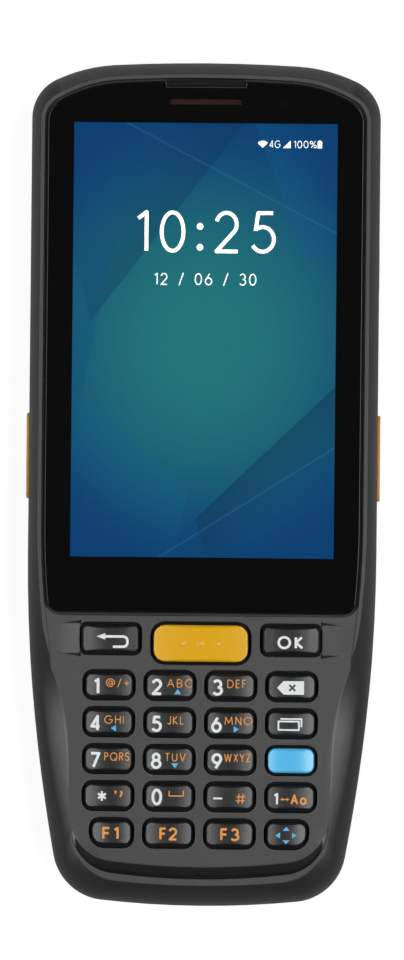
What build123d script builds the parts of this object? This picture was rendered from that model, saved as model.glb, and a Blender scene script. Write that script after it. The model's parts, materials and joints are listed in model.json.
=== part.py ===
from build123d import *
import os
from math import asin, copysign, cos, radians, sin

# Handheld barcode data terminal, lying on its back.
# Millimetres. +Z points out of the display, +Y towards the earpiece and the scan window, +X right.
# The origin is under the middle of the body, on its back plane.

# ---------------------------------------------------------------- overall sizes
body_length = 170.6
body_width = 70.6
body_depth = 20.0  # back plane to the rim of the front face
parting_height = 12.5  # where the two housings meet
wall = 1.8

# ---------------------------------------------------------------- clearances
loose_gap = 0.3  # round pieces that only have to stay clear
snug_gap = 0.15  # round pieces that are located by their neighbour
touch_gap = 0.05  # next to a seat that the piece is pressed onto

# ---------------------------------------------------------------- outline bends: (radius, turn)
# From the top centre down the right side; a positive turn is clockwise, a negative one flares back.
crown_turn = 3.2
shell_upper_bends = [(32.0, 22.0), (8.6, 64.8)]
shell_lower_bends = [(320.0, 3.45), (280.0, 1.6), (355.0, 2.85), (380.0, 2.5), (11.0, 73.6)]
rim_upper_bends = [(28.0, 27.8), (6.0, 59.0)]
rim_lower_bends = [(170.0, 7.0), (31.0, 16.8), (45.0, -24.7), (555.0, 1.5), (10.0, 83.8)]
pocket_lower_bends = [(170.0, 6.8), (3000.0, 0.8), (9.5, 75.2)]
rim_inset_side = 2.2  # from the body outline to the rim line, at the widest part
rim_inset_top = 3.0
rim_inset_bottom = 4.95
rim_band = 0.9  # flat raised band inside the rim line
lip_width = 1.4  # the same band at the bottom end
flank_rises = (0.0, 0.28, 0.48, 0.66, 0.83, 1.0)  # where the loft's bands meet, as parts of its height

# ---------------------------------------------------------------- front face
panel_drop = 0.45  # keypad panel below the rim
panel_thickness = 1.6
groove_width = 2.3  # crescent groove between panel and lip
groove_depth = 1.5
groove_reach = 2.1  # how far the panel's edge slopes out on its way down
groove_start = 15.6  # height of the crescent's horns above the bottom end
microphone_hole_radius = 0.4
microphone_from_bottom = 7.1

# ---------------------------------------------------------------- glass and display
glass_thickness = 1.1
glass_drop = 0.3  # glass top below the rim
glass_gap = 0.4
glass_corner = 2.8
glass_chamfer = 0.25
ledge_thickness = 1.4  # frame that carries the glass
display_width = 55.6
display_length = 93.3
display_thickness = 2.2
display_from_glass_top = 7.3
display_bond = 0.1  # clear adhesive between the display and the glass
earpiece_notch_width = 15.6
earpiece_notch_depth = 1.2
indicator_width = 14.5
indicator_height = 1.4
indicator_from_top = 4.3  # below the top edge of the glass
camera_side = 15.2
camera_from_top = 4.5
camera_radius = 1.9

# ---------------------------------------------------------------- keypad
key_columns = 4
key_rows = 5
key_pitch_x = 12.2
key_pitch_y = 7.4
key_width = 9.3
key_height = 4.9
key_corner = 1.5
corner_runs = 4  # straight runs in a corner of a cap
key_gap = 0.65  # open groove round each cap
key_stand = 0.75  # cap top above the panel
key_shoulder = 0.5  # bevel round the top of a cap
key_crown = 0.4  # how much lower a cap's ends are than its middle
key_travel = 0.6
key_flange = 0.4  # flange beyond the aperture
flange_thickness = 0.8
flange_gap = 0.1
last_row_from_bottom = 15.4
navigation_from_row = 9.3  # from the first digit row up to the back and OK keys
navigation_width = 11.2
navigation_height = 5.3
navigation_corner = 0.9
navigation_side = 18.1
scan_width = 18.9
scan_height = 7.3
scan_corner = 2.2
scan_shift = -0.8  # the scan key sits lower than its neighbours
scan_dot_radius = 0.68
scan_dot_pitch = 3.56
scan_dots = 3
scan_dot_height = 0.2
scan_to_glass = 1.85
end_key_width = 7.8  # the two keys in the rounded corners of the keypad
end_key_corner = 2.4
scoop_length = 4.4  # thumb scoops beside the back and OK keys
scoop_width = 6.0
scoop_depth = 1.1
scoop_corner = 0.6
scoop_lean = 35.0  # lean of the scoop's walls
plunger_width = 2.2
plunger_bore = 3.2
mat_thickness = 0.8
mat_rib = 0.9
mat_lift = 1.0  # mat above the ends of the plungers
mat_margin = 1.1  # mat beyond the outermost flanges
mat_lap = 1.0  # how far the mat's corners may reach under the groove's slope
board_thickness = 1.0
board_to_end = 4.8  # keypad board above the bottom end
post_side = 19.0
post_inset = 7.0  # from the keypad mat's ends
dome_radius = 2.0
dome_thickness = 0.3
dome_film = 0.1
dome_sides = 6

# ---------------------------------------------------------------- frame and boards behind the display
tray_floor = 1.0
tray_rim = 2.0
tray_top_rim = 0.6
tray_side_gap = 0.2
standoff_height = 1.4
standoff_width = 4.0
standoff_pitch_x = 44.0
standoff_pitch_y = 64.0
main_board_width = 54.0
main_board_length = 80.0
main_board_from_top = 67.3  # its centre below the top end
shield_height = 1.4
shield_width = 32.0
shield_length = 13.0
shield_points = [(0, 18.0), (0, 33.0)]  # from the middle of the main board

# ---------------------------------------------------------------- rear housing
back_edge_radius = 4.0
battery_width = 51.8
battery_thickness = 7.8
battery_corner = 2.0
battery_gap = 0.3
battery_end_gap = 0.7
partition = 1.2
end_wall = 1.5
bay_from_bottom = 30.8  # bottom of the battery bay above the bottom end
bay_from_top = 62.8  # top of the battery bay below the top end
cover_thickness = 1.6
cover_step = 1.8  # how far the cover reaches past the bay
cover_corner = 4.0
latch_zone = 8.6
seal_thickness = 0.4
seal_width = 0.9
seal_corner = 2.4
hook_width = 8.0
hook_side = 14.0
hook_reach = 2.1
hook_thickness = 0.7
hook_room = 3.0
latch_width = 12.0
latch_thumb = 3.0
latch_travel = 2.0
latch_flange = 2.0
latch_plate = 0.9
latch_sink = 0.25  # thumb face below the cover's outer face

# ---------------------------------------------------------------- side keys
trigger_length = 17.4
trigger_height = 5.5
trigger_from_middle = 5.6  # centre of the triggers above the middle of the body
trigger_stand = 0.6
trigger_travel = 0.6
side_key_height = 3.0
side_key_stand = 0.15
side_key_travel = 0.4
power_length = 9.0
volume_length = 20.0
upper_keys_from_middle = 44.1
side_key_level = 8.2  # height of the side keys' centre line
channel_depth = 3.7
side_flange = 1.0
side_flange_thickness = 1.0
switch_thickness = 0.7
switch_size = 3.4
side_key_corner = 1.4
stem_share = 0.25  # part of a side key's length that presses its switch
stem_height = 2.2
volume_switch_side = 6.0

# ---------------------------------------------------------------- ends, holes and fasteners
scan_window_width = 26.0
scan_window_height = 7.6
scan_window_level = 7.4
scan_window_thickness = 1.2
scan_window_recess = 0.4
scan_border = 0.9  # frame behind the edge of the window
scan_frame = 2.6
scan_window_corner = 2.0
scan_engine_width = 21.6
scan_engine_length = 14.0
scan_engine_height = 11.6
engine_bezel_width = 18.0
engine_bezel_height = 5.0
engine_bezel_depth = 1.2
engine_lens_x = 4.5
engine_lens_radius = 2.0
engine_lamp_size = 3.6
screw_radius = 0.95
screw_sides = 12
screw_head_radius = 1.9
screw_head_height = 1.5
screw_head_depth = 2.0
screw_clearance = 0.2
screw_bite = 2.9  # screw inside the front housing's boss
boss_radius = 2.0
boss_clearance = 0.3
side_screw_inset = 5.2  # from the body's widest outline
end_screw_inset = 14.2
top_screw_from_top = 19.3
end_screw_from_bottom = 7.8
gasket_width = 0.8
gasket_height = 0.6
gasket_inset = 0.5
usb_width = 8.9
usb_height = 3.2
usb_length = 7.2
usb_level = 9.3
usb_leg = 1.0
usb_shell = 0.35
usb_mouth_depth = 5.5
usb_tongue_width = 6.6
usb_tongue_thickness = 0.7
rear_camera_x = -4.5
rear_flash_x = 5.0
rear_camera_from_top = 39.3
rear_camera_size = 8.5
rear_camera_height = 5.0
rear_lens_radius = 3.2
rear_flash_radius = 1.7
rear_flash_height = 1.6
camera_window_length = 20.0
camera_window_width = 9.6
camera_window_thickness = 0.9
camera_window_recess = 0.2
speaker_length = 15.0
speaker_width = 10.0
speaker_thickness = 4.0
speaker_x = -9.0
speaker_corner = 2.0
mesh_thickness = 0.2
end_bay_from_bottom = 13.0  # centre of the speaker and the charging contacts
end_bay_length = 11.0
end_bay_half_width = 17.4
grille_slots = 5
grille_pitch = 1.8
grille_slot_length = 12.0
grille_slot_width = 0.9
contact_count = 4
contact_pitch = 3.6
contact_width = 2.0
contact_length = 4.6
contact_x = 9.0
contact_recess = 0.15
contact_flange = 0.4
strap_notch_x = -13.5
strap_notch_width = 8.0
strap_notch_length = 5.6
strap_notch_height = 6.6
strap_bar_radius = 1.0
strap_bar_from_bottom = 2.9
strap_bar_level = 3.2
strap_bar_seat = 1.6

# ---------------------------------------------------------------- small modules inside
receiver_width = 12.0
receiver_length = 3.0
receiver_height = 3.0
receiver_slot_height = 1.0
camera_height = 4.2
microphone_radius = 2.0
motor_radius = 4.0
motor_thickness = 3.0
motor_x = 20.0
motor_from_top = 52.3
connector_width = 14.0
connector_length = 2.6
connector_level = 4.6
connector_foot = 1.3
blade_count = 4
blade_pitch = 3.0
blade_thickness = 0.5
blade_height = 1.6
card_holder_width = 30.0
card_holder_length = 16.0
card_holder_from_board = -30.0  # its centre from the main board's centre

# ---------------------------------------------------------------- places that follow from the sizes
half_width = body_width / 2
half_length = body_length / 2
top_end = half_length
bottom_end = -half_length
rim_half_width = half_width - rim_inset_side
rim_top = top_end - rim_inset_top
rim_bottom = bottom_end + rim_inset_bottom
panel_height = body_depth - panel_drop
panel_underside = panel_height - panel_thickness
key_top = panel_height + key_stand
glass_top = body_depth - glass_drop
glass_underside = glass_top - glass_thickness
ledge_underside = glass_underside - ledge_thickness

last_row_y = bottom_end + last_row_from_bottom
first_row_y = last_row_y + (key_rows - 1) * key_pitch_y
navigation_y = first_row_y + navigation_from_row
scan_y = navigation_y + scan_shift
recess_bottom = scan_y + scan_height / 2 + scan_to_glass
glass_upper_edge = rim_top - rim_band - glass_gap
display_top = glass_upper_edge - display_from_glass_top
display_y = display_top - display_length / 2
display_underside = glass_underside - display_bond - display_thickness

flange_reach = key_gap + key_flange
column_reach = (key_columns - 1) / 2 * key_pitch_x + key_width / 2
navigation_reach = navigation_side + navigation_width / 2
mat_half_width = max(column_reach, navigation_reach) + flange_reach + mat_margin
mat_top_y = scan_y + scan_height / 2 + flange_reach + mat_margin
mat_bottom_y = last_row_y - key_height / 2 - flange_reach - mat_margin
keypad_board_top = parting_height + board_thickness
keypad_board_bottom = bottom_end + board_to_end
dome_top = keypad_board_top + dome_thickness
plunger_base = dome_top + key_travel + flange_gap
mat_base = plunger_base + mat_lift
flange_top = panel_underside - flange_gap

tray_base = display_underside - tray_floor
main_board_top = tray_base - standoff_height
main_board_base = main_board_top - board_thickness
main_board_y = top_end - main_board_from_top
main_board_centre = (0, main_board_y)

bay_bottom = bottom_end + bay_from_bottom
bay_width = battery_width + 2 * battery_gap
bay_top = top_end - bay_from_top
bay_length = bay_top - bay_bottom
battery_length = bay_length - battery_end_gap - battery_gap
battery_base = cover_thickness + seal_thickness
bay_ceiling = battery_base + battery_thickness + battery_gap
partition_top = bay_ceiling + partition
cover_half_width = bay_width / 2 + cover_step
cover_top_y = bay_top + end_wall
cover_bottom_y = bay_bottom - latch_zone
post_levels = (mat_top_y - post_inset, mat_bottom_y + 2 * post_inset)
post_points = [(side * post_side, y) for side in (-1, 1) for y in post_levels]
rear_camera_y = top_end - rear_camera_from_top
usb_inner_y = bottom_end + end_bay_from_bottom - end_bay_length / 2

screw_points = [
    (half_width - side_screw_inset, top_end - top_screw_from_top),
    (half_width - end_screw_inset, bottom_end + end_screw_from_bottom),
]
screw_points += [(-x, y) for x, y in screw_points]

pieces = []


def keep(label, builder):
    """Name a finished sub-part and put it on the list of files to write."""
    builder.part.label = label
    pieces.append(builder.part)


# ---------------------------------------------------------------- outlines
def chain_step(bends, heading):
    """How far a run of tangent bends travels in x and y, and the heading at its end.

    The heading is clockwise from +X, in degrees.
    """
    x = 0.0
    y = 0.0
    for radius, turn in bends:
        signed_radius = copysign(radius, turn)
        end = heading + turn
        x += signed_radius * (sin(radians(end)) - sin(radians(heading)))
        y += signed_radius * (cos(radians(end)) - cos(radians(heading)))
        heading = end
    return x, y, heading


def inset_bends(bends, inset):
    """The bends of a line that runs inside another one at a constant distance."""
    return [(radius - copysign(inset, turn), turn) for radius, turn in bends]


def blend_bends(first, second, share):
    """Bends that lie between two outlines: their turns and lengths are mixed."""
    mixed = []
    for (radius_a, turn_a), (radius_b, turn_b) in zip(first, second):
        turn = turn_a + share * (turn_b - turn_a)
        length_a = radius_a * abs(turn_a)
        length_b = radius_b * abs(turn_b)
        length = length_a + share * (length_b - length_a)
        mixed.append((length / abs(turn), turn))
    return mixed


def outline(side, top, bottom, upper_bends, lower_bends):
    """A closed outline, the same left and right.

    The crown and base arcs take the radius that closes it, and a straight side takes up the length.
    """
    upper_x, upper_y, _ = chain_step(upper_bends, crown_turn)
    lower_x, lower_y, foot_heading = chain_step(lower_bends, 90.0)
    crown_radius = (side - upper_x) / sin(radians(crown_turn))
    base_radius = (side + lower_x) / sin(radians(foot_heading))
    crown_drop = crown_radius * (1 - cos(radians(crown_turn)))
    base_drop = base_radius * (1 + cos(radians(foot_heading)))
    straight = top - bottom - crown_drop + upper_y + lower_y - base_drop
    with BuildSketch() as shape:
        with BuildLine():
            run = JernArc((0, top), (1, 0), crown_radius, -crown_turn)
            for radius, turn in upper_bends:
                run = JernArc(run @ 1, run % 1, radius, -turn)
            corner = run @ 1
            run = Line(corner, (corner.X, corner.Y - straight))
            for radius, turn in lower_bends:
                run = JernArc(run @ 1, run % 1, radius, -turn)
            JernArc(run @ 1, run % 1, base_radius, foot_heading - 180)
            mirror(about=Plane.YZ)
        make_face()
    return shape.sketch


def body_outline(share=0.0, inset=0.0):
    """The body's outline, from the parting plane (share 0) to the rim line (share 1)."""
    upper = blend_bends(shell_upper_bends, rim_upper_bends, share)
    lower = blend_bends(shell_lower_bends, rim_lower_bends, share)
    return outline(
        half_width - share * rim_inset_side - inset,
        top_end - share * rim_inset_top - inset,
        bottom_end + share * rim_inset_bottom + inset,
        inset_bends(upper, inset),
        inset_bends(lower, inset),
    )


def flank_share(height):
    """How far the flank has curved in towards the rim line at a height: a parabola."""
    return ((height - parting_height) / (body_depth - parting_height)) ** 2


def pocket_shape(inset):
    """The sunk face inside the rim band and the lip, drawn in by an inset."""
    return outline(
        rim_half_width - rim_band - inset,
        rim_top - rim_band - inset,
        rim_bottom + lip_width + inset,
        inset_bends(rim_upper_bends, rim_band + inset),
        inset_bends(pocket_lower_bends, inset),
    )


pocket_outline = pocket_shape(0)


def band_area(lower_y, upper_y):
    """Everything between two heights on the face, as a sketch to clip others with."""
    with BuildSketch() as shape:
        with Locations((0, (lower_y + upper_y) / 2)):
            Rectangle(2 * body_width, upper_y - lower_y)
    return shape.sketch


def glass_shape(gap):
    """The pocket above the keypad panel, drawn in by a gap, with rounded lower corners."""
    with BuildSketch() as shape:
        add(pocket_outline)
        add(band_area(recess_bottom, top_end + wall), mode=Mode.INTERSECT)
        fillet(shape.vertices().group_by(Axis.Y)[0], glass_corner + glass_gap)
        if gap:
            offset(amount=-gap)
    return shape.sketch


glass_recess = glass_shape(0)
glass_outline = glass_shape(glass_gap)


# ---------------------------------------------------------------- keypad layout
# Each key: name, centre, width, height and its corners from the upper right one, anticlockwise.
corner_quarters = [(1, 1, 0), (-1, 1, 90), (-1, -1, 180), (1, -1, 270)]  # side, side, first angle


def keypad_layout():
    columns = [(column - (key_columns - 1) / 2) * key_pitch_x for column in range(key_columns)]
    rows = [first_row_y - row * key_pitch_y for row in range(key_rows)]
    names = [
        ["1", "2", "3", "delete"],
        ["4", "5", "6", "recents"],
        ["7", "8", "9", "blue"],
        ["star", "0", "minus", "input"],
        ["f1", "f2", "f3", "arrows"],
    ]
    keys = []
    for row_names, y in zip(names, rows):
        for name, x in zip(row_names, columns):
            keys.append((name, x, y, key_width, key_height, [key_corner] * 4))
    trim = (key_width - end_key_width) / 2
    for index, side, corner in ((-key_columns, -1, 2), (-1, 1, 3)):
        name, x, y, _, _, corners = keys[index]
        corners[corner] = end_key_corner
        keys[index] = (name, x - side * trim, y, end_key_width, key_height, corners)
    for name, side in (("back", -1), ("ok", 1)):
        size = (navigation_width, navigation_height)
        keys.append((name, side * navigation_side, navigation_y, *size, [navigation_corner] * 4))
    keys.append(("scan", 0.0, scan_y, scan_width, scan_height, [scan_corner] * 4))
    return keys


keypad = keypad_layout()


def key_outline(width, height, corners, grow):
    """A cap's outline about its own centre, grown on every side; its corners are short straight runs."""
    points = []
    for (side_x, side_y, first_angle), corner in zip(corner_quarters, corners):
        centre_x = side_x * (width / 2 - corner)
        centre_y = side_y * (height / 2 - corner)
        for run in range(corner_runs + 1):
            angle = radians(first_angle + 90 * run / corner_runs)
            points.append((centre_x + (corner + grow) * cos(angle), centre_y + (corner + grow) * sin(angle)))
    with BuildSketch() as shape:
        Polygon(*points, align=None)
    return shape.sketch


# ---------------------------------------------------------------- front housing
hollow_outline = body_outline(flank_share(ledge_underside), wall)
display_room_width = display_width + 2 * loose_gap
display_room_length = display_length + 2 * loose_gap
indicator_y = glass_upper_edge - indicator_from_top
camera_y = glass_upper_edge - camera_from_top
receiver_y = glass_upper_edge - earpiece_notch_depth / 2
microphone_y = bottom_end + microphone_from_bottom
groove_horn_y = bottom_end + groove_start


def mat_shape(inset):
    """The keypad mat's outline inside the housing walls, drawn in by an inset."""
    with BuildSketch() as shape:
        with Locations((0, (mat_top_y + mat_bottom_y) / 2)):
            Rectangle(2 * (mat_half_width - inset), mat_top_y - mat_bottom_y - 2 * inset)
        add(body_outline(flank_share(panel_underside), wall + inset), mode=Mode.INTERSECT)
        with Locations((0, groove_width)):
            add(pocket_shape(inset - mat_lap), mode=Mode.INTERSECT)
    return shape.sketch


# crescent groove: what lies between the lip and the panel's sloping edge
with BuildPart() as groove:
    with BuildSketch(Plane.XY.offset(panel_height - groove_depth)):
        add(pocket_outline)
        add(band_area(bottom_end, groove_horn_y), mode=Mode.INTERSECT)
    extrude(amount=groove_depth)
    with BuildPart(mode=Mode.SUBTRACT):
        for depth, reach in ((groove_depth, groove_reach), (0, 0)):
            with BuildSketch(Plane.XY.offset(panel_height - depth)):
                with Locations((0, groove_width)):
                    add(pocket_shape(-reach))
        loft(ruled=True)

with BuildPart() as front_housing:
    # flanks: a loft in narrow bands from the parting plane to the rim line
    for rise in flank_rises:
        height = parting_height + rise * (body_depth - parting_height)
        with BuildSketch(Plane.XY.offset(height)):
            add(body_outline(flank_share(height)))
    loft(ruled=True)
    # hollow, one wall inside the narrowest place that it reaches on the flanks
    with BuildSketch(Plane.XY.offset(parting_height)):
        add(hollow_outline)
    extrude(amount=ledge_underside - parting_height, mode=Mode.SUBTRACT)
    # keypad panel, groove and glass recess, sunk from the rim
    with BuildSketch(Plane.XY.offset(body_depth)):
        add(pocket_outline)
    extrude(amount=-panel_drop, mode=Mode.SUBTRACT)
    add(groove.part, mode=Mode.SUBTRACT)
    with BuildSketch(Plane.XY.offset(glass_underside)):
        add(glass_recess)
    extrude(amount=body_depth - glass_underside, mode=Mode.SUBTRACT)
    # room for the display, the earpiece, the indicator and the camera behind the glass
    with BuildSketch(Plane.XY.offset(ledge_underside)):
        with Locations((0, display_y)):
            Rectangle(display_room_width, display_room_length)
        with Locations((0, indicator_y)):
            Rectangle(indicator_width + 2 * snug_gap, indicator_height + 2 * snug_gap)
        with Locations((camera_side, camera_y)):
            Circle(camera_radius + snug_gap)
        with Locations((0, receiver_y)):
            Rectangle(receiver_width, receiver_slot_height)
    extrude(amount=ledge_thickness, mode=Mode.SUBTRACT)
    # thinner wall over the keypad, so that the key flanges lie close under the panel
    with BuildSketch(Plane.XY.offset(ledge_underside)):
        add(mat_shape(0))
    extrude(amount=panel_underside - ledge_underside, mode=Mode.SUBTRACT)
    # key apertures
    with BuildSketch(Plane.XY.offset(panel_underside)):
        for _, x, y, width, height, corners in keypad:
            with Locations((x, y)):
                add(key_outline(width, height, corners, key_gap))
    extrude(amount=body_depth - panel_underside, mode=Mode.SUBTRACT)
    # thumb scoops: ramps that rise outwards from the back and OK keys to the panel
    scoop_slope = asin(scoop_depth / scoop_length)
    for side in (-1, 1):
        cap_edge = side * (navigation_side + navigation_width / 2)
        ramp = Plane(
            origin=(cap_edge, navigation_y, panel_height - scoop_depth),
            x_dir=(side * cos(scoop_slope), 0, sin(scoop_slope)),
            z_dir=(-side * sin(scoop_slope), 0, cos(scoop_slope)),
        )
        with BuildPart(mode=Mode.SUBTRACT):
            with BuildSketch(ramp):
                RectangleRounded(2 * scoop_length, scoop_width, scoop_corner)
            extrude(amount=2 * scoop_depth, taper=-scoop_lean)
            split(bisect_by=Plane(origin=(cap_edge + side * key_gap / 2, 0, 0), z_dir=(side, 0, 0)))
    # sound hole of the microphone
    with BuildSketch(Plane.XY.offset(ledge_underside)):
        with Locations((0, microphone_y)):
            Circle(microphone_hole_radius)
    extrude(amount=body_depth - ledge_underside, mode=Mode.SUBTRACT)
    # screw bosses, down to the parting plane
    with BuildSketch(Plane.XY.offset(parting_height)):
        with Locations(*screw_points):
            RegularPolygon(boss_radius, screw_sides)
    extrude(amount=ledge_underside - parting_height)
    with BuildSketch(Plane.XY.offset(parting_height)):
        with Locations(*screw_points):
            RegularPolygon(screw_radius + touch_gap, screw_sides)
    extrude(amount=screw_bite + loose_gap, mode=Mode.SUBTRACT)
keep("front_housing", front_housing)

# ---------------------------------------------------------------- rear housing
side_stations = [  # side, centre y, length, height, travel, stand
    (-1, trigger_from_middle, trigger_length, trigger_height, trigger_travel, trigger_stand),
    (1, trigger_from_middle, trigger_length, trigger_height, trigger_travel, trigger_stand),
    (-1, upper_keys_from_middle, volume_length, side_key_height, side_key_travel, side_key_stand),
    (1, upper_keys_from_middle, power_length, side_key_height, side_key_travel, side_key_stand),
]
channel_outer_x = half_width - wall
channel_inner_x = channel_outer_x - channel_depth
room_half_width = channel_inner_x - end_wall
window_outer_y = top_end - scan_window_recess
window_inner_y = window_outer_y - scan_window_thickness
room_top_y = window_inner_y - scan_frame
end_bay_y = bottom_end + end_bay_from_bottom
latch_pocket_bottom = cover_bottom_y - latch_travel - loose_gap
latch_pocket_top = bay_bottom - seal_width - touch_gap
latch_top = cover_thickness + flange_gap + latch_plate
hook_skin = cover_thickness - hook_thickness - flange_gap
cover_y = (cover_top_y + cover_bottom_y) / 2
bay_y = (bay_top + bay_bottom) / 2
speaker_centre = (speaker_x, end_bay_y)
contacts_centre = (contact_x, end_bay_y)
strap_bar_y = bottom_end + strap_bar_from_bottom
card_holder_centre = (0, main_board_y + card_holder_from_board)
blade_span = (blade_count - 1) * blade_pitch + blade_thickness


def side_plane(side, x, y):
    """A plane that faces out of the left (-1) or right (1) side, at the side keys' level."""
    return Plane(origin=(side * x, y, side_key_level), x_dir=(0, side, 0), z_dir=(side, 0, 0))


def end_plane(y, level):
    """An upright plane across the body that faces +Y."""
    return Plane(origin=(0, y, level), x_dir=(1, 0, 0), z_dir=(0, 1, 0))


with BuildPart() as rear_housing:
    with BuildSketch():
        add(body_outline())
    extrude(amount=parting_height)
    fillet(rear_housing.edges().group_by(Axis.Z)[0], back_edge_radius)
    # room above the partition for the boards
    with BuildSketch(Plane.XY.offset(partition_top)):
        add(body_outline(0, wall))
    extrude(amount=parting_height - partition_top, mode=Mode.SUBTRACT)
    # room behind the scan window, and the one at the bottom end
    with BuildSketch(Plane.XY.offset(wall)):
        with Locations((0, (cover_top_y + room_top_y) / 2)):
            Rectangle(2 * room_half_width, room_top_y - cover_top_y)
        with Locations((0, end_bay_y)):
            Rectangle(2 * end_bay_half_width, end_bay_length)
    extrude(amount=parting_height - wall, mode=Mode.SUBTRACT)
    # battery bay and the stepped recess of its cover
    with BuildSketch():
        with Locations((0, bay_y)):
            Rectangle(bay_width, bay_length)
    extrude(amount=bay_ceiling, mode=Mode.SUBTRACT)
    with BuildSketch():
        with Locations((0, cover_y)):
            RectangleRounded(2 * cover_half_width, cover_top_y - cover_bottom_y, cover_corner + snug_gap)
    extrude(amount=battery_base, mode=Mode.SUBTRACT)
    # pocket for the latch plate, which reaches over the back wall when it is locked
    with BuildSketch(Plane.XY.offset(cover_thickness)):
        with Locations((0, (latch_pocket_bottom + latch_pocket_top) / 2)):
            Rectangle(
                latch_width + 2 * latch_flange + 2 * loose_gap, latch_pocket_top - latch_pocket_bottom
            )
    extrude(amount=latch_top + loose_gap - cover_thickness, mode=Mode.SUBTRACT)
    # pockets in which the cover's hooks turn
    with BuildSketch(Plane.XY.offset(hook_skin)):
        with Locations((-hook_side, cover_top_y), (hook_side, cover_top_y)):
            Rectangle(hook_width + 2 * loose_gap, 2 * (hook_reach + loose_gap))
    extrude(amount=hook_room - hook_skin, mode=Mode.SUBTRACT)
    # slot for the battery contacts, and the window under the card holder
    with BuildSketch(end_plane(bay_top, connector_level)):
        Rectangle(blade_span + 2 * loose_gap, blade_height + 2 * loose_gap)
    extrude(amount=end_wall, mode=Mode.SUBTRACT)
    with BuildSketch(Plane.XY.offset(bay_ceiling)):
        with Locations(card_holder_centre):
            Rectangle(card_holder_width + 2 * loose_gap, card_holder_length + 2 * loose_gap)
    extrude(amount=partition, mode=Mode.SUBTRACT)
    # posts that carry the keypad board
    with BuildSketch(Plane.XY.offset(partition_top)):
        with Locations(*post_points):
            Rectangle(standoff_width, standoff_width)
    extrude(amount=parting_height - partition_top)
    # channels and wall openings of the side keys
    for side, y, length, height, _, _ in side_stations:
        channel_floor = side_key_level - height / 2 - side_flange - loose_gap
        with BuildSketch(Plane.XY.offset(channel_floor)):
            with Locations((side * (channel_inner_x + channel_outer_x) / 2, y)):
                Rectangle(channel_depth, length + 2 * side_flange + 2 * loose_gap)
        extrude(amount=parting_height - channel_floor, mode=Mode.SUBTRACT)
        with BuildSketch(side_plane(side, channel_outer_x, y)):
            RectangleRounded(length + 2 * snug_gap, height + 2 * snug_gap, side_key_corner + snug_gap)
        extrude(amount=2 * wall, mode=Mode.SUBTRACT)
    # scan window: seat for the glass, and the aperture behind it
    with BuildSketch(end_plane(window_inner_y, scan_window_level)):
        RectangleRounded(
            scan_window_width + 2 * snug_gap, scan_window_height + 2 * snug_gap, scan_window_corner
        )
    extrude(amount=wall, mode=Mode.SUBTRACT)
    with BuildSketch(end_plane(room_top_y, scan_window_level)):
        Rectangle(scan_window_width - 2 * scan_border, scan_window_height - 2 * scan_border)
    extrude(amount=scan_frame, mode=Mode.SUBTRACT)
    # camera and flash: seat for the window, and the holes behind it
    with BuildSketch():
        with Locations((0, rear_camera_y)):
            SlotOverall(camera_window_length + 2 * snug_gap, camera_window_width + 2 * snug_gap)
    extrude(amount=camera_window_recess + camera_window_thickness, mode=Mode.SUBTRACT)
    with BuildSketch():
        with Locations((rear_camera_x, rear_camera_y)):
            Circle(rear_lens_radius + snug_gap)
        with Locations((rear_flash_x, rear_camera_y)):
            Circle(rear_flash_radius + snug_gap)
    extrude(amount=wall, mode=Mode.SUBTRACT)
    # sound slots and charging contact holes at the bottom end
    with BuildSketch():
        with Locations(speaker_centre):
            with GridLocations(0, grille_pitch, 1, grille_slots):
                Rectangle(grille_slot_length, grille_slot_width)
        with Locations(contacts_centre):
            with GridLocations(contact_pitch, 0, contact_count, 1):
                Rectangle(contact_width + 2 * touch_gap, contact_length + 2 * touch_gap)
    extrude(amount=wall, mode=Mode.SUBTRACT)
    # USB mouth, and the relief for its legs
    with BuildSketch(end_plane(bottom_end - wall, usb_level)):
        SlotOverall(usb_width + 2 * snug_gap, usb_height + 2 * snug_gap)
    extrude(amount=end_bay_y - end_bay_length / 2 - bottom_end + wall, mode=Mode.SUBTRACT)
    with BuildSketch(Plane.XY.offset(usb_level)):
        with Locations((0, usb_inner_y + loose_gap)):
            Rectangle(usb_width, usb_leg + 2 * loose_gap, align=(Align.CENTER, Align.MAX))
    extrude(amount=partition_top - usb_level, mode=Mode.SUBTRACT)
    # notch for a wrist strap, with seats for its bar
    with BuildSketch(Plane.XY):
        with Locations((strap_notch_x, bottom_end)):
            Rectangle(strap_notch_width, 2 * strap_notch_length)
    extrude(amount=strap_notch_height, mode=Mode.SUBTRACT)
    with BuildSketch(Plane.YZ.offset(strap_notch_x)):
        with Locations((strap_bar_y, strap_bar_level)):
            Circle(strap_bar_radius + touch_gap)
    extrude(amount=strap_notch_width / 2 + strap_bar_seat, both=True, mode=Mode.SUBTRACT)
    # screw holes from the back: the head's well, then the shank's hole
    for radius, depth in (
        (screw_head_radius, screw_head_depth + screw_head_height),
        (screw_radius, parting_height),
    ):
        with BuildSketch():
            with Locations(*screw_points):
                RegularPolygon(radius + screw_clearance, screw_sides)
        extrude(amount=depth, mode=Mode.SUBTRACT)
    # groove for the gasket
    with BuildSketch(Plane.XY.offset(parting_height)):
        add(body_outline(0, gasket_inset - touch_gap))
        add(body_outline(0, gasket_inset + gasket_width + touch_gap), mode=Mode.SUBTRACT)
    extrude(amount=-gasket_height, mode=Mode.SUBTRACT)
keep("rear_housing", rear_housing)

# ---------------------------------------------------------------- joint between the housings
with BuildPart() as housing_gasket:
    with BuildSketch(Plane.XY.offset(parting_height)):
        add(body_outline(0, gasket_inset))
        add(body_outline(0, gasket_inset + gasket_width), mode=Mode.SUBTRACT)
    extrude(amount=-gasket_height)
keep("housing_gasket", housing_gasket)

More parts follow.
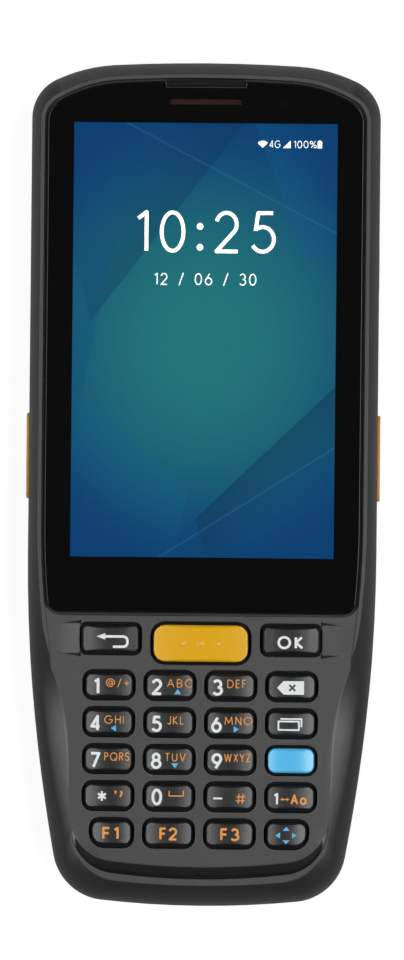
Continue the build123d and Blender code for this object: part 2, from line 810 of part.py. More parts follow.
with BuildPart() as housing_screws:
    with BuildSketch(Plane.XY.offset(screw_head_depth)):
        with Locations(*screw_points):
            RegularPolygon(screw_head_radius, screw_sides)
    extrude(amount=screw_head_height)
    with BuildSketch(Plane.XY.offset(screw_head_depth)):
        with Locations(*screw_points):
            RegularPolygon(screw_radius, screw_sides)
    extrude(amount=parting_height + screw_bite - screw_head_depth)
keep("housing_screws", housing_screws)

# ---------------------------------------------------------------- keypad
flange_room = mat_shape(snug_gap + mat_rib + snug_gap)
for key_name, x, y, width, height, corners in keypad:
    with BuildPart() as key:
        # cap through the aperture, bevelled round its top
        with BuildSketch(Plane((x, y, flange_top))):
            add(key_outline(width, height, corners, 0))
        extrude(amount=key_top - key_shoulder - flange_top)
        for inset in (0, key_shoulder):
            with BuildSketch(Plane((x, y, key_top - key_shoulder + inset))):
                add(key_outline(width, height, corners, -inset))
        loft(ruled=True)
        # crowned from end to end
        crown_radius = (width / 2) ** 2 / (2 * key_crown)
        with BuildSketch(Plane(origin=(x, y, key_top), x_dir=(1, 0, 0), z_dir=(0, -1, 0))):
            with Locations((0, -crown_radius)):
                Circle(crown_radius)
            Rectangle(width, 2 * (key_top - flange_top), mode=Mode.INTERSECT)
        extrude(amount=height, both=True, mode=Mode.INTERSECT)
        # retaining flange under the panel, and the plunger that presses the snap dome
        with BuildSketch(Plane.XY.offset(flange_top)):
            with Locations((x, y)):
                Rectangle(width + 2 * flange_reach, height + 2 * flange_reach)
            add(flange_room, mode=Mode.INTERSECT)
        extrude(amount=-flange_thickness)
        with BuildSketch(Plane((x, y, plunger_base))):
            Rectangle(plunger_width, plunger_width)
        extrude(amount=flange_top - flange_thickness - plunger_base)
        if key_name == "scan":
            # raised dots that the thumb can feel
            with BuildSketch(Plane((x, y, key_top))):
                with GridLocations(scan_dot_pitch, 0, scan_dots, 1):
                    Circle(scan_dot_radius)
            extrude(amount=scan_dot_height, both=True)
    keep("key_" + key_name, key)

with BuildPart() as keypad_mat:
    with BuildSketch(Plane.XY.offset(mat_base)):
        add(mat_shape(snug_gap))
        for _, x, y, _, _, _ in keypad:
            with Locations((x, y)):
                Rectangle(plunger_bore, plunger_bore, mode=Mode.SUBTRACT)
    extrude(amount=mat_thickness)
    # sealing rib all round, clamped between the keypad board and the panel
    with BuildSketch(Plane.XY.offset(keypad_board_top)):
        add(mat_shape(snug_gap))
        add(mat_shape(snug_gap + mat_rib), mode=Mode.SUBTRACT)
    extrude(amount=panel_underside - touch_gap - keypad_board_top)
keep("keypad_mat", keypad_mat)

with BuildPart() as snap_domes:
    with BuildSketch(Plane.XY.offset(keypad_board_top)):
        add(mat_shape(snug_gap + mat_rib + snug_gap))
    extrude(amount=dome_film)
    with BuildSketch(Plane.XY.offset(keypad_board_top)):
        for _, x, y, _, _, _ in keypad:
            with Locations((x, y)):
                RegularPolygon(dome_radius, dome_sides)
    extrude(amount=dome_thickness)
keep("snap_domes", snap_domes)

with BuildPart() as keypad_board:
    with BuildSketch(Plane.XY.offset(parting_height)):
        with Locations((0, mat_top_y)):
            Rectangle(
                2 * mat_half_width, mat_top_y - keypad_board_bottom, align=(Align.CENTER, Align.MAX)
            )
        add(body_outline(flank_share(ledge_underside), wall + loose_gap), mode=Mode.INTERSECT)
        with Locations(*screw_points):
            RegularPolygon(boss_radius + boss_clearance, screw_sides, mode=Mode.SUBTRACT)
    extrude(amount=board_thickness)
keep("keypad_board", keypad_board)

with BuildPart() as microphone:
    with BuildSketch(Plane.XY.offset(keypad_board_top)):
        with Locations((0, microphone_y)):
            Circle(microphone_radius)
    extrude(amount=ledge_underside - touch_gap - keypad_board_top)
keep("microphone", microphone)

# ---------------------------------------------------------------- glass and display
with BuildPart() as cover_glass:
    with BuildSketch(Plane.XY.offset(glass_underside)) as glass_plan:
        add(glass_outline)
        with Locations((0, glass_upper_edge)):
            Rectangle(earpiece_notch_width, 2 * earpiece_notch_depth, mode=Mode.SUBTRACT)
    extrude(amount=glass_thickness)
    chamfer(cover_glass.edges().group_by(Axis.Z)[-1], glass_chamfer)
keep("cover_glass", cover_glass)

with BuildPart() as display_module:
    with BuildSketch(Plane.XY.offset(display_underside)):
        with Locations((0, display_y)):
            Rectangle(display_width, display_length)
    extrude(amount=display_thickness)
keep("display_module", display_module)

with BuildPart() as indicator_window:
    with BuildSketch(Plane.XY.offset(ledge_underside - loose_gap)):
        with Locations((0, indicator_y)):
            Rectangle(indicator_width, indicator_height)
    extrude(amount=ledge_thickness + loose_gap - touch_gap)
keep("indicator_window", indicator_window)

with BuildPart() as front_camera:
    with BuildSketch(Plane.XY.offset(glass_underside - touch_gap)):
        with Locations((camera_side, camera_y)):
            Circle(camera_radius)
    extrude(amount=-camera_height)
keep("front_camera", front_camera)

with BuildPart() as earpiece_mesh:
    with BuildSketch(Plane.XY.offset(glass_underside)):
        with Locations((0, glass_upper_edge + glass_gap - snug_gap)):
            Rectangle(
                earpiece_notch_width - 2 * snug_gap,
                earpiece_notch_depth + glass_gap - 2 * snug_gap,
                align=(Align.CENTER, Align.MAX),
            )
    extrude(amount=glass_thickness - loose_gap)
keep("earpiece_mesh", earpiece_mesh)

with BuildPart() as earpiece:
    with BuildSketch(Plane.XY.offset(ledge_underside - touch_gap)):
        with Locations((0, receiver_y)):
            Rectangle(receiver_width, receiver_length)
    extrude(amount=-receiver_height)
keep("earpiece", earpiece)

# ---------------------------------------------------------------- midframe and main board
tray_half_width = display_width / 2 + tray_side_gap + tray_rim
tray_top_y = display_top + tray_side_gap + tray_top_rim
tray_bottom_y = display_top - display_length - tray_side_gap - tray_rim
tray_centre = (0, (tray_top_y + tray_bottom_y) / 2)

with BuildPart() as midframe:
    with BuildSketch(Plane.XY.offset(tray_base)):
        with Locations(tray_centre):
            Rectangle(2 * tray_half_width, tray_top_y - tray_bottom_y)
        with Locations(*screw_points):
            RegularPolygon(boss_radius + boss_clearance, screw_sides, mode=Mode.SUBTRACT)
    extrude(amount=ledge_underside - touch_gap - tray_base)
    with BuildSketch(Plane.XY.offset(display_underside)):
        with Locations((0, display_y)):
            Rectangle(display_width + 2 * tray_side_gap, display_length + 2 * tray_side_gap)
    extrude(amount=display_bond + display_thickness, mode=Mode.SUBTRACT)
    # standoffs down to the main board
    with BuildSketch(Plane.XY.offset(tray_base)):
        with Locations(main_board_centre):
            with GridLocations(standoff_pitch_x, standoff_pitch_y, 2, 2):
                Rectangle(standoff_width, standoff_width)
    extrude(amount=-standoff_height)
keep("midframe", midframe)

with BuildPart() as main_board:
    with BuildSketch(Plane.XY.offset(main_board_base)):
        with Locations(main_board_centre):
            Rectangle(main_board_width, main_board_length)
    extrude(amount=board_thickness)
    # shield cans over the processor and the radio
    with BuildSketch(Plane.XY.offset(main_board_base)):
        with Locations(main_board_centre):
            with Locations(*shield_points):
                Rectangle(shield_width, shield_length)
    extrude(amount=-shield_height)
keep("main_board", main_board)

with BuildPart() as card_holder:
    with BuildSketch(Plane.XY.offset(bay_ceiling + loose_gap)):
        with Locations(card_holder_centre):
            Rectangle(card_holder_width, card_holder_length)
    extrude(amount=main_board_base - bay_ceiling - loose_gap)
keep("card_holder", card_holder)

# ---------------------------------------------------------------- scan engine and window
with BuildPart() as scan_window:
    with BuildSketch(end_plane(window_inner_y, scan_window_level)):
        RectangleRounded(scan_window_width, scan_window_height, scan_window_corner - snug_gap)
    extrude(amount=scan_window_thickness)
keep("scan_window", scan_window)

with BuildPart() as scan_engine:
    with BuildSketch(Plane.XY.offset(wall)):
        with Locations((0, room_top_y - loose_gap)):
            Rectangle(scan_engine_width, scan_engine_length, align=(Align.CENTER, Align.MAX))
    extrude(amount=scan_engine_height)
    # bezel with the sensor lens and the aiming lamp
    with BuildSketch(end_plane(room_top_y - loose_gap, scan_window_level)):
        Rectangle(engine_bezel_width, engine_bezel_height)
    extrude(amount=engine_bezel_depth)
    with BuildSketch(end_plane(room_top_y - loose_gap + engine_bezel_depth, scan_window_level)):
        with Locations((-engine_lens_x, 0)):
            Circle(engine_lens_radius)
        with Locations((engine_lens_x, 0)):
            Rectangle(engine_lamp_size, engine_lamp_size)
    extrude(amount=-engine_bezel_depth / 2, mode=Mode.SUBTRACT)
keep("scan_engine", scan_engine)

# ---------------------------------------------------------------- side keys and their switches
side_key_names = ["trigger_left", "trigger_right", "volume_key", "power_key"]
for key_name, (side, y, length, height, travel, stand) in zip(side_key_names, side_stations):
    flange_outer_x = channel_outer_x - flange_gap
    flange_inner_x = flange_outer_x - side_flange_thickness
    stem_x = channel_inner_x + switch_thickness + travel + flange_gap
    with BuildPart() as side_key:
        with BuildSketch(side_plane(side, flange_inner_x, y)):
            Rectangle(length + 2 * side_flange, height + 2 * side_flange)
        extrude(amount=side_flange_thickness)
        with BuildSketch(side_plane(side, flange_outer_x, y)):
            RectangleRounded(length, height, side_key_corner)
        extrude(amount=half_width + stand - flange_outer_x)
        with BuildSketch(side_plane(side, stem_x, y)):
            Rectangle(length * stem_share, stem_height)
        extrude(amount=flange_inner_x - stem_x)
    keep(key_name, side_key)

with BuildPart() as side_switches:
    for key_name, (side, y, length, _, _, _) in zip(side_key_names, side_stations):
        pair = key_name == "volume_key"
        offsets = (-volume_switch_side, volume_switch_side) if pair else (0,)
        with BuildSketch(side_plane(side, channel_inner_x, y)):
            with Locations(*[(along, 0) for along in offsets]):
                Rectangle(switch_size, side_key_height)
        extrude(amount=switch_thickness)
keep("side_switches", side_switches)

# ---------------------------------------------------------------- battery, cover and latch
with BuildPart() as battery_pack:
    with BuildSketch(Plane.XY.offset(battery_base)):
        with Locations((0, bay_bottom + battery_gap + battery_length / 2)):
            RectangleRounded(battery_width, battery_length, battery_corner)
    extrude(amount=battery_thickness)
keep("battery_pack", battery_pack)

with BuildPart() as battery_connector:
    with BuildSketch(Plane.XY.offset(connector_level - connector_foot)):
        with Locations((0, cover_top_y + loose_gap)):
            Rectangle(connector_width, connector_length, align=(Align.CENTER, Align.MIN))
    extrude(amount=main_board_base - connector_level + connector_foot)
    # contact blades that reach through the end wall to the battery
    with BuildSketch(end_plane(cover_top_y + loose_gap, connector_level)):
        with GridLocations(blade_pitch, 0, blade_count, 1):
            Rectangle(blade_thickness, blade_height)
    extrude(amount=-end_wall - loose_gap - battery_end_gap + flange_gap)
keep("battery_connector", battery_connector)

latch_thumb_y = cover_bottom_y + latch_zone / 2 + latch_travel / 2
with BuildPart() as battery_cover:
    with BuildSketch():
        with Locations((0, cover_y)):
            RectangleRounded(
                2 * (cover_half_width - snug_gap), cover_top_y - cover_bottom_y - 2 * snug_gap, cover_corner
            )
    extrude(amount=cover_thickness)
    # window in which the latch slides
    with BuildSketch():
        with Locations((0, latch_thumb_y - latch_travel / 2)):
            Rectangle(latch_width + 2 * snug_gap, latch_thumb + latch_travel + 2 * snug_gap)
    extrude(amount=cover_thickness, mode=Mode.SUBTRACT)
    # hooks that hold the cover's upper end behind the back wall
    with BuildSketch(Plane.XY.offset(cover_thickness)):
        with Locations((-hook_side, cover_top_y + hook_reach), (hook_side, cover_top_y + hook_reach)):
            Rectangle(hook_width, hook_reach + end_wall, align=(Align.CENTER, Align.MAX))
    extrude(amount=-hook_thickness)
keep("battery_cover", battery_cover)

with BuildPart() as battery_cover_seal:
    with BuildSketch(Plane.XY.offset(cover_thickness)):
        with Locations((0, bay_y)):
            RectangleRounded(bay_width + 2 * seal_width, bay_length + 2 * seal_width, seal_corner)
            Rectangle(bay_width + 2 * touch_gap, bay_length + 2 * touch_gap, mode=Mode.SUBTRACT)
    extrude(amount=seal_thickness)
keep("battery_cover_seal", battery_cover_seal)

with BuildPart() as battery_latch:
    with BuildSketch(Plane.XY.offset(latch_sink)):
        with Locations((0, latch_thumb_y)):
            Rectangle(latch_width, latch_thumb)
    extrude(amount=latch_top - latch_sink)
    plate_bottom_y = cover_bottom_y + snug_gap + loose_gap
    with BuildSketch(Plane.XY.offset(latch_top)):
        with Locations((0, latch_pocket_top - loose_gap)):
            Rectangle(
                latch_width + 2 * latch_flange,
                latch_pocket_top - loose_gap - plate_bottom_y,
                align=(Align.CENTER, Align.MAX),
            )
    extrude(amount=-latch_plate)
keep("battery_latch", battery_latch)

# ---------------------------------------------------------------- rear camera, sound and small modules
with BuildPart() as camera_window:
    with BuildSketch(Plane.XY.offset(camera_window_recess)):
        with Locations((0, rear_camera_y)):
            SlotOverall(camera_window_length, camera_window_width)
    extrude(amount=camera_window_thickness)
keep("camera_window", camera_window)

with BuildPart() as rear_camera:
    lens_base = camera_window_recess + camera_window_thickness + touch_gap
    with BuildSketch(Plane.XY.offset(wall)):
        with Locations((rear_camera_x, rear_camera_y)):
            Rectangle(rear_camera_size, rear_camera_size)
    extrude(amount=rear_camera_height)
    with BuildSketch(Plane.XY.offset(lens_base)):
        with Locations((rear_camera_x, rear_camera_y)):
            Circle(rear_lens_radius)
    extrude(amount=wall - lens_base)
    # flash lamp beside it
    with BuildSketch(Plane.XY.offset(lens_base)):
        with Locations((rear_flash_x, rear_camera_y)):
            Circle(rear_flash_radius)
    extrude(amount=rear_flash_height)
keep("rear_camera", rear_camera)

with BuildPart() as loudspeaker_mesh:
    with BuildSketch(Plane.XY.offset(wall)):
        with Locations(speaker_centre):
            Rectangle(speaker_length, speaker_width)
    extrude(amount=mesh_thickness)
keep("loudspeaker_mesh", loudspeaker_mesh)

with BuildPart() as loudspeaker:
    with BuildSketch(Plane.XY.offset(wall + mesh_thickness)):
        with Locations(speaker_centre):
            RectangleRounded(speaker_length, speaker_width, speaker_corner)
    extrude(amount=speaker_thickness)
keep("loudspeaker", loudspeaker)

with BuildPart() as vibration_motor:
    with BuildSketch(Plane.XY.offset(wall)):
        with Locations((motor_x, top_end - motor_from_top)):
            Circle(motor_radius)
    extrude(amount=motor_thickness)
keep("vibration_motor", vibration_motor)

with BuildPart() as charging_contacts:
    with BuildSketch(Plane.XY.offset(contact_recess)):
        with Locations(contacts_centre):
            with GridLocations(contact_pitch, 0, contact_count, 1):
                Rectangle(contact_width, contact_length)
    extrude(amount=wall - contact_recess)
    with BuildSketch(Plane.XY.offset(wall)):
        with Locations(contacts_centre):
            with GridLocations(contact_pitch, 0, contact_count, 1):
                Rectangle(contact_width + 2 * contact_flange, contact_length + 2 * contact_flange)
    extrude(amount=contact_flange)
keep("charging_contacts", charging_contacts)

with BuildPart() as usb_socket:
    with BuildSketch(end_plane(usb_inner_y, usb_level)):
        SlotOverall(usb_width, usb_height)
    extrude(amount=-usb_length)
    with BuildSketch(end_plane(usb_inner_y - usb_length, usb_level)):
        SlotOverall(usb_width - 2 * usb_shell, usb_height - 2 * usb_shell)
        Rectangle(usb_tongue_width, usb_tongue_thickness, mode=Mode.SUBTRACT)
    extrude(amount=usb_mouth_depth, mode=Mode.SUBTRACT)
    # legs up to the keypad board
    with BuildSketch(Plane.XY.offset(usb_level)):
        with Locations((0, usb_inner_y)):
            with GridLocations(usb_width - usb_height, 0, 2, 1):
                Rectangle(usb_leg, usb_leg, align=(Align.CENTER, Align.MAX))
    extrude(amount=parting_height - usb_level)
keep("usb_socket", usb_socket)

with BuildPart() as wrist_strap_bar:
    with BuildSketch(Plane.YZ.offset(strap_notch_x)):
        with Locations((strap_bar_y, strap_bar_level)):
            Circle(strap_bar_radius)
    extrude(amount=strap_notch_width / 2 + strap_bar_seat - touch_gap, both=True)
keep("wrist_strap_bar", wrist_strap_bar)

# ---------------------------------------------------------------- files
os.makedirs("parts", exist_ok=True)
for piece in pieces:
    export_step(piece, "parts/" + piece.label + ".step")
print(len(pieces), "sub-parts written")
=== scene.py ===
# %% [markdown]
# # A handheld data terminal, finished in Blender
# The solid model arrives as a frame of named nodes that stay where they are. This lesson gives each
# node the surface of its real material, prints the key legends, lights the display, and sets up a
# plain studio round it. Everything is in metres, in the frame of the solid model: Z points out of the
# display, Y towards the earpiece.

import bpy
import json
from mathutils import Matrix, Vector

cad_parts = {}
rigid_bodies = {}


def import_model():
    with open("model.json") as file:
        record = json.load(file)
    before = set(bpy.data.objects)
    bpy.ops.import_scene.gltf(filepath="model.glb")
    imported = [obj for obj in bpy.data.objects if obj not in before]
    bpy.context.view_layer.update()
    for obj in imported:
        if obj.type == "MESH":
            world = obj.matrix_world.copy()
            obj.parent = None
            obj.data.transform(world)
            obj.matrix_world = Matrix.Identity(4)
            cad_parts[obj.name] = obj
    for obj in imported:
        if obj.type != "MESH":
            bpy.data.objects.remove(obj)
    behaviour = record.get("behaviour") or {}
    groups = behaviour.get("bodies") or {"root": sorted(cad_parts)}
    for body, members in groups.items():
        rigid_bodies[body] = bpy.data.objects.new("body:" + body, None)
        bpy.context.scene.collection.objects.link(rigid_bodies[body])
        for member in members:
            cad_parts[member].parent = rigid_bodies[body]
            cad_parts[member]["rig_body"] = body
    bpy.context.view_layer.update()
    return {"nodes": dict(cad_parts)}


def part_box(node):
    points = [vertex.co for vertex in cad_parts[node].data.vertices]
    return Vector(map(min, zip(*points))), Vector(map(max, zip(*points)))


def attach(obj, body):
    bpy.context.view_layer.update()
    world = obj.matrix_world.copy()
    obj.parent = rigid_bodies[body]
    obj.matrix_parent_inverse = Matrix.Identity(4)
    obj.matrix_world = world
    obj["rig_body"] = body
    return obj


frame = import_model()

import bpy
import json
from math import cos, hypot, pi, radians, sin
from mathutils import Matrix, Vector
from mathutils.bvhtree import BVHTree
from mathutils.geometry import delaunay_2d_cdt

MM = 0.001
nodes = frame["nodes"]

# %% [markdown]
# ## The camera
# The terminal is seen almost square on, from above as it lies on its back, with a long lens. A long
# lens keeps the sides nearly parallel, as product pictures do. The picture is 404 by 960 pixels, and
# five of its pixels span one millimetre at the front face, so the focal length follows from the
# distance. The body leans by about half a degree in the frame, which is a roll of the camera.

# %% Camera
PICTURE_HEIGHT = 960
PIXELS_PER_MM = 4.995
SENSOR = 36.0
camera_distance = 0.66
front_level = 20 * MM
aim = Vector((-0.09 * MM, 0.94 * MM, front_level))
sideways = radians(0.6)
lean = 0.01008

seen_height = PICTURE_HEIGHT / PIXELS_PER_MM * MM
camera_data = bpy.data.cameras.new("camera")
camera_data.sensor_width = SENSOR
camera_data.lens = SENSOR * camera_distance / seen_height
camera_data.clip_start = 0.01
camera_data.clip_end = 20
camera = bpy.data.objects.new("camera", camera_data)
backward = Vector((sin(sideways), 0, cos(sideways)))
upward = Vector((-lean, 1, 0))
upward = (upward - backward * upward.dot(backward)).normalized()
rightward = upward.cross(backward)
turn = Matrix((rightward, upward, backward)).transposed()
camera.matrix_world = Matrix.Translation(aim + backward * camera_distance) @ turn.to_4x4()
bpy.context.scene.collection.objects.link(camera)
bpy.context.scene.camera = camera
print("focal length %.1f mm" % camera_data.lens)

# %% [markdown]
# ## Helpers for node trees
# Colours are written as sRGB hex values, the way a paint tool shows them, and Blender wants them
# linear, so one function converts them. A second function adds one node to a tree with its settings
# and its links. The rest are short names for the nodes that almost every recipe below uses, so that a
# material reads top to bottom like the steps of a finish.


# %% Colour and node helpers
def colour(hex_text):
    """An sRGB hex value as linear red, green, blue and alpha."""
    channels = [int(hex_text[place : place + 2], 16) / 255 for place in (1, 3, 5)]
    linear = [((c + 0.055) / 1.055) ** 2.4 if c > 0.04045 else c / 12.92 for c in channels]
    return (*linear, 1.0)


def add(tree, kind, inputs=None, **settings):
    """Add a node. Settings are its properties; inputs are plain values or sockets to link from."""
    made = tree.nodes.new(kind)
    for name, value in settings.items():
        setattr(made, name, value)
    for socket, value in (inputs or {}).items():
        if isinstance(value, bpy.types.NodeSocket):
            tree.links.new(value, made.inputs[socket])
        else:
            made.inputs[socket].default_value = value
    return made


def reckon(tree, operation, first, second=0.0):
    """One number worked out from one or two others."""
    return add(tree, "ShaderNodeMath", {0: first, 1: second}, operation=operation).outputs[0]


def vector_sum(tree, operation, first, second=(0, 0, 0)):
    """A vector, or for a length, a distance or a dot product one number, worked out from vectors."""
    made = add(tree, "ShaderNodeVectorMath", {0: first, 1: second}, operation=operation)
    return made.outputs["Value" if operation in ("LENGTH", "DISTANCE", "DOT_PRODUCT") else 0]


def parts_of(tree, vector):
    """The X, Y and Z sockets of a vector."""
    return add(tree, "ShaderNodeSeparateXYZ", {0: vector}).outputs


def between(tree, value, low, high, at_low=0.0, at_high=1.0, soft=False):
    """What goes evenly, or softly, from at_low to at_high while the value goes from low to high."""
    ends = {"Value": value, 1: low, 2: high, 3: at_low, 4: at_high}
    kind = "SMOOTHSTEP" if soft else "LINEAR"
    return add(tree, "ShaderNodeMapRange", ends, interpolation_type=kind).outputs[0]


def blend(tree, share, under, over):
    """Two colours mixed, each a hex value or a socket. Share is how much of the second one shows."""
    under, over = (colour(side) if isinstance(side, str) else side for side in (under, over))
    return add(tree, "ShaderNodeMix", {0: share, 6: under, 7: over}, data_type="RGBA").outputs[2]


def mottling(tree, place, scale, detail, roughness=0.5):
    """A noise pattern between 0 and 1. The scale is in patches per metre."""
    noise = {"Vector": place, "Scale": scale, "Detail": detail, "Roughness": roughness}
    return add(tree, "ShaderNodeTexNoise", noise).outputs[0]


def blank_material(name, **shader_values):
    """A material with one Principled shader, and the place on the piece as a socket."""
    material = bpy.data.materials.new(name)
    material.use_nodes = True
    tree = material.node_tree
    tree.nodes.clear()
    shader = add(tree, "ShaderNodeBsdfPrincipled", shader_values)
    add(tree, "ShaderNodeOutputMaterial", {"Surface": shader.outputs[0]})
    place = add(tree, "ShaderNodeTexCoord").outputs["Object"]
    return material, tree, shader, place


def surface(tree, shader, tint, gloss, height=None, depth=0.0, strength=0.5, **links):
    """Link the colour, the roughness and, from a height pattern, the bump. The depth is in millimetres."""
    tree.links.new(tint, shader.inputs["Base Color"])
    tree.links.new(gloss, shader.inputs["Roughness"])
    if height:
        relief = {"Height": height, "Distance": depth * MM, "Strength": strength, **links}
        tree.links.new(add(tree, "ShaderNodeBump", relief).outputs[0], shader.inputs["Normal"])


print("dark grey in linear light:", [round(c, 3) for c in colour("#454547")[:3]])

# %% [markdown]
# ## Soft edges
# No moulded, stamped or ground edge is perfectly sharp, and the thin line of light along it is what
# shows the shape. The solid model keeps each face apart, so the faces are first joined and smoothed
# where they meet at less than 25 degrees. A Bevel modifier then rounds the sharper outward edges by
# 0.1 to 0.2 mm. Inward corners stay sharp, as a mould cuts them. Three kinds of edge would tear: very
# short ones, knife edges, and those where a hollow or a dot runs out into a curved face, which lie in
# the boxes below. They are left as they are.

# %% Soft edges
SMOOTH_BELOW = radians(25)
KNIFE_EDGE = radians(110)
SHORTEST_EDGE = 0.12 * MM
# the middle and half size of boxes, in millimetres, the same at the left and the right
FEATHERED = {
    "groove end": ((29.0, -69.0, 21.0), (5.3, 7.0, 2.5)),
    "thumb scoop": ((29.0, -31.0, 21.0), (5.3, 6.8, 2.5)),
    "strap hole": ((9.0, -84.0, 2.0), (2.0, 3.0, 2.5)),
    "dots of the scan key": ((0.0, -31.8, 21.0), (4.6, 1.0, 0.85)),
}


def geometry_group(name):
    """A geometry node group, and the geometry that comes into it."""
    group = bpy.data.node_groups.new(name, "GeometryNodeTree")
    for way in ("INPUT", "OUTPUT"):
        group.interface.new_socket("Geometry", in_out=way, socket_type="NodeSocketGeometry")
    return group, add(group, "NodeGroupInput").outputs[0]


def compare(tree, first, sign, second):
    """Whether two numbers compare as the sign says."""
    return add(tree, "FunctionNodeCompare", {"A": first, "B": second}, operation=sign).outputs[0]


def outside_box(tree, place, middle, half):
    """True where a place is outside a box in millimetres."""
    away = vector_sum(tree, "SUBTRACT", place, [part * MM for part in middle])
    away = vector_sum(tree, "ABSOLUTE", away)
    kind = {"data_type": "VECTOR", "mode": "ELEMENT", "operation": "LESS_THAN"}
    inside = add(tree, "FunctionNodeCompare", {4: away, 5: [part * MM for part in half]}, **kind)
    return add(tree, "FunctionNodeBooleanMath", {0: inside.outputs[0]}, operation="NOT").outputs[0]


def join_and_smooth():
    """Join the faces, shade them smooth up to the sharp edges, and weigh the edges to be rounded."""
    tree, given = geometry_group("join_and_smooth")
    joined = {"Geometry": given, "Distance": 0.001 * MM}
    joined = add(tree, "GeometryNodeMergeByDistance", joined).outputs[0]
    plain = {"Geometry": joined, "Name": "custom_normal"}
    plain = add(tree, "GeometryNodeRemoveAttribute", plain).outputs[0]
    smooth = {"Geometry": plain, "Shade Smooth": True}
    smooth = add(tree, "GeometryNodeSetShadeSmooth", smooth, domain="FACE").outputs[0]
    angle = add(tree, "GeometryNodeInputMeshEdgeAngle").outputs
    sharp = compare(tree, angle["Unsigned Angle"], "GREATER_THAN", SMOOTH_BELOW)
    creased = {"Geometry": smooth, "Selection": sharp, "Shade Smooth": False}
    creased = add(tree, "GeometryNodeSetShadeSmooth", creased, domain="EDGE").outputs[0]
    ends = add(tree, "GeometryNodeInputMeshEdgeVertices").outputs
    length = vector_sum(tree, "DISTANCE", ends["Position 1"], ends["Position 2"])
    x, y, z = parts_of(tree, add(tree, "GeometryNodeInputPosition").outputs[0])
    place = {0: reckon(tree, "ABSOLUTE", x), 1: y, 2: z}
    place = add(tree, "ShaderNodeCombineXYZ", place).outputs[0]
    tests = [compare(tree, length, "GREATER_THAN", SHORTEST_EDGE)]
    tests.append(compare(tree, angle["Signed Angle"], "GREATER_THAN", SMOOTH_BELOW))
    tests.append(compare(tree, angle["Signed Angle"], "LESS_THAN", KNIFE_EDGE))
    tests += [outside_box(tree, place, middle, half) for middle, half in FEATHERED.values()]
    rounded = tests[0]
    for test in tests[1:]:
        rounded = add(tree, "FunctionNodeBooleanMath", {0: rounded, 1: test}, operation="AND").outputs[0]
    marked = {"Geometry": creased, "Name": "bevel_weight_edge", "Value": rounded}
    marked = add(tree, "GeometryNodeStoreNamedAttribute", marked, data_type="FLOAT", domain="EDGE")
    add(tree, "NodeGroupOutput", {0: marked.outputs[0]})
    return tree


# %% [markdown]
# ## Three domes for the thumb
# The dots that the thumb finds on the scan key are flat-topped in the solid model. A node group makes
# their tops finer and sinks each point by the square of its distance from the dot's middle, which
# gives three small domes. It works on the faces that come from the solid model, so it runs first.

# %% Domes
DOT_PITCH, DOT_RADIUS, DOT_HEIGHT = 3.56 * MM, 0.68 * MM, 0.2 * MM
scan_low, scan_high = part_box("key_scan")


def dome_the_dots():
    """Sink the tops of the three dots by the square of the distance from each dot's middle."""
    tree, given = geometry_group("dome_the_dots")
    place = add(tree, "GeometryNodeInputPosition").outputs[0]
    on_top = compare(tree, parts_of(tree, place)["Z"], "GREATER_THAN", scan_high.z - DOT_HEIGHT / 4)
    parted = {"Geometry": given, "Selection": on_top}
    parted = add(tree, "GeometryNodeSeparateGeometry", parted, domain="FACE").outputs
    finer = add(tree, "GeometryNodeSubdivideMesh", {0: parted[0], 1: 3}).outputs[0]
    whole = add(tree, "GeometryNodeJoinGeometry")
    for part in (finer, parted[1]):
        tree.links.new(part, whole.inputs[0])
    middle = (0, (scan_low.y + scan_high.y) / 2, scan_high.z)
    x, y, _ = parts_of(tree, vector_sum(tree, "SUBTRACT", place, middle))
    from_dot = {0: x, 1: -DOT_PITCH / 2, 2: DOT_PITCH / 2}
    from_dot = add(tree, "ShaderNodeMath", from_dot, operation="WRAP").outputs[0]
    from_dot = add(tree, "ShaderNodeCombineXYZ", {0: from_dot, 1: y}).outputs[0]
    square = vector_sum(tree, "DOT_PRODUCT", from_dot, from_dot)
    sink = reckon(tree, "MULTIPLY", square, -DOT_HEIGHT / DOT_RADIUS**2)
    sink = add(tree, "ShaderNodeCombineXYZ", {2: sink}).outputs[0]
    domed = {"Geometry": whole.outputs[0], "Selection": on_top, "Offset": sink}
    add(tree, "NodeGroupOutput", {0: add(tree, "GeometryNodeSetPosition", domed).outputs[0]})
    return tree


nodes["key_scan"].modifiers.new("domes", "NODES").node_group = dome_the_dots()
print("dots of %.1f mm, domed by %.1f mm" % (2 * DOT_RADIUS / MM, DOT_HEIGHT / MM))

# %% [markdown]
# ## Round the edges
# The wider a real edge is rounded, the wider the line of light: the cover's edge is the softest, the
# side keys come next, and the key caps are crisp.

# %% Round the edges
joiner = join_and_smooth()


def soften(name, width):
    """Join a node's faces and round its edges; the width is in millimetres."""
    piece = nodes[name]
    piece.modifiers.new("join", "NODES").node_group = joiner
    edge = piece.modifiers.new("soft edges", "BEVEL")
    edge.width = width * MM
    edge.segments = 2
    edge.limit_method = "WEIGHT"
    edge.use_clamp_overlap = False
    edge.harden_normals = True


edge_widths = {"front_housing": 0.16, "rear_housing": 0.16, "battery_cover": 0.2, "cover_glass": 0.12}
edge_widths.update({name: 0.15 for name in ("trigger_left", "trigger_right", "volume_key", "power_key")})
edge_widths.update({name: 0.12 for name in nodes if name.startswith("key_")})
for name, width in edge_widths.items():
    soften(name, width)
print("nodes with soft edges:", len(edge_widths))

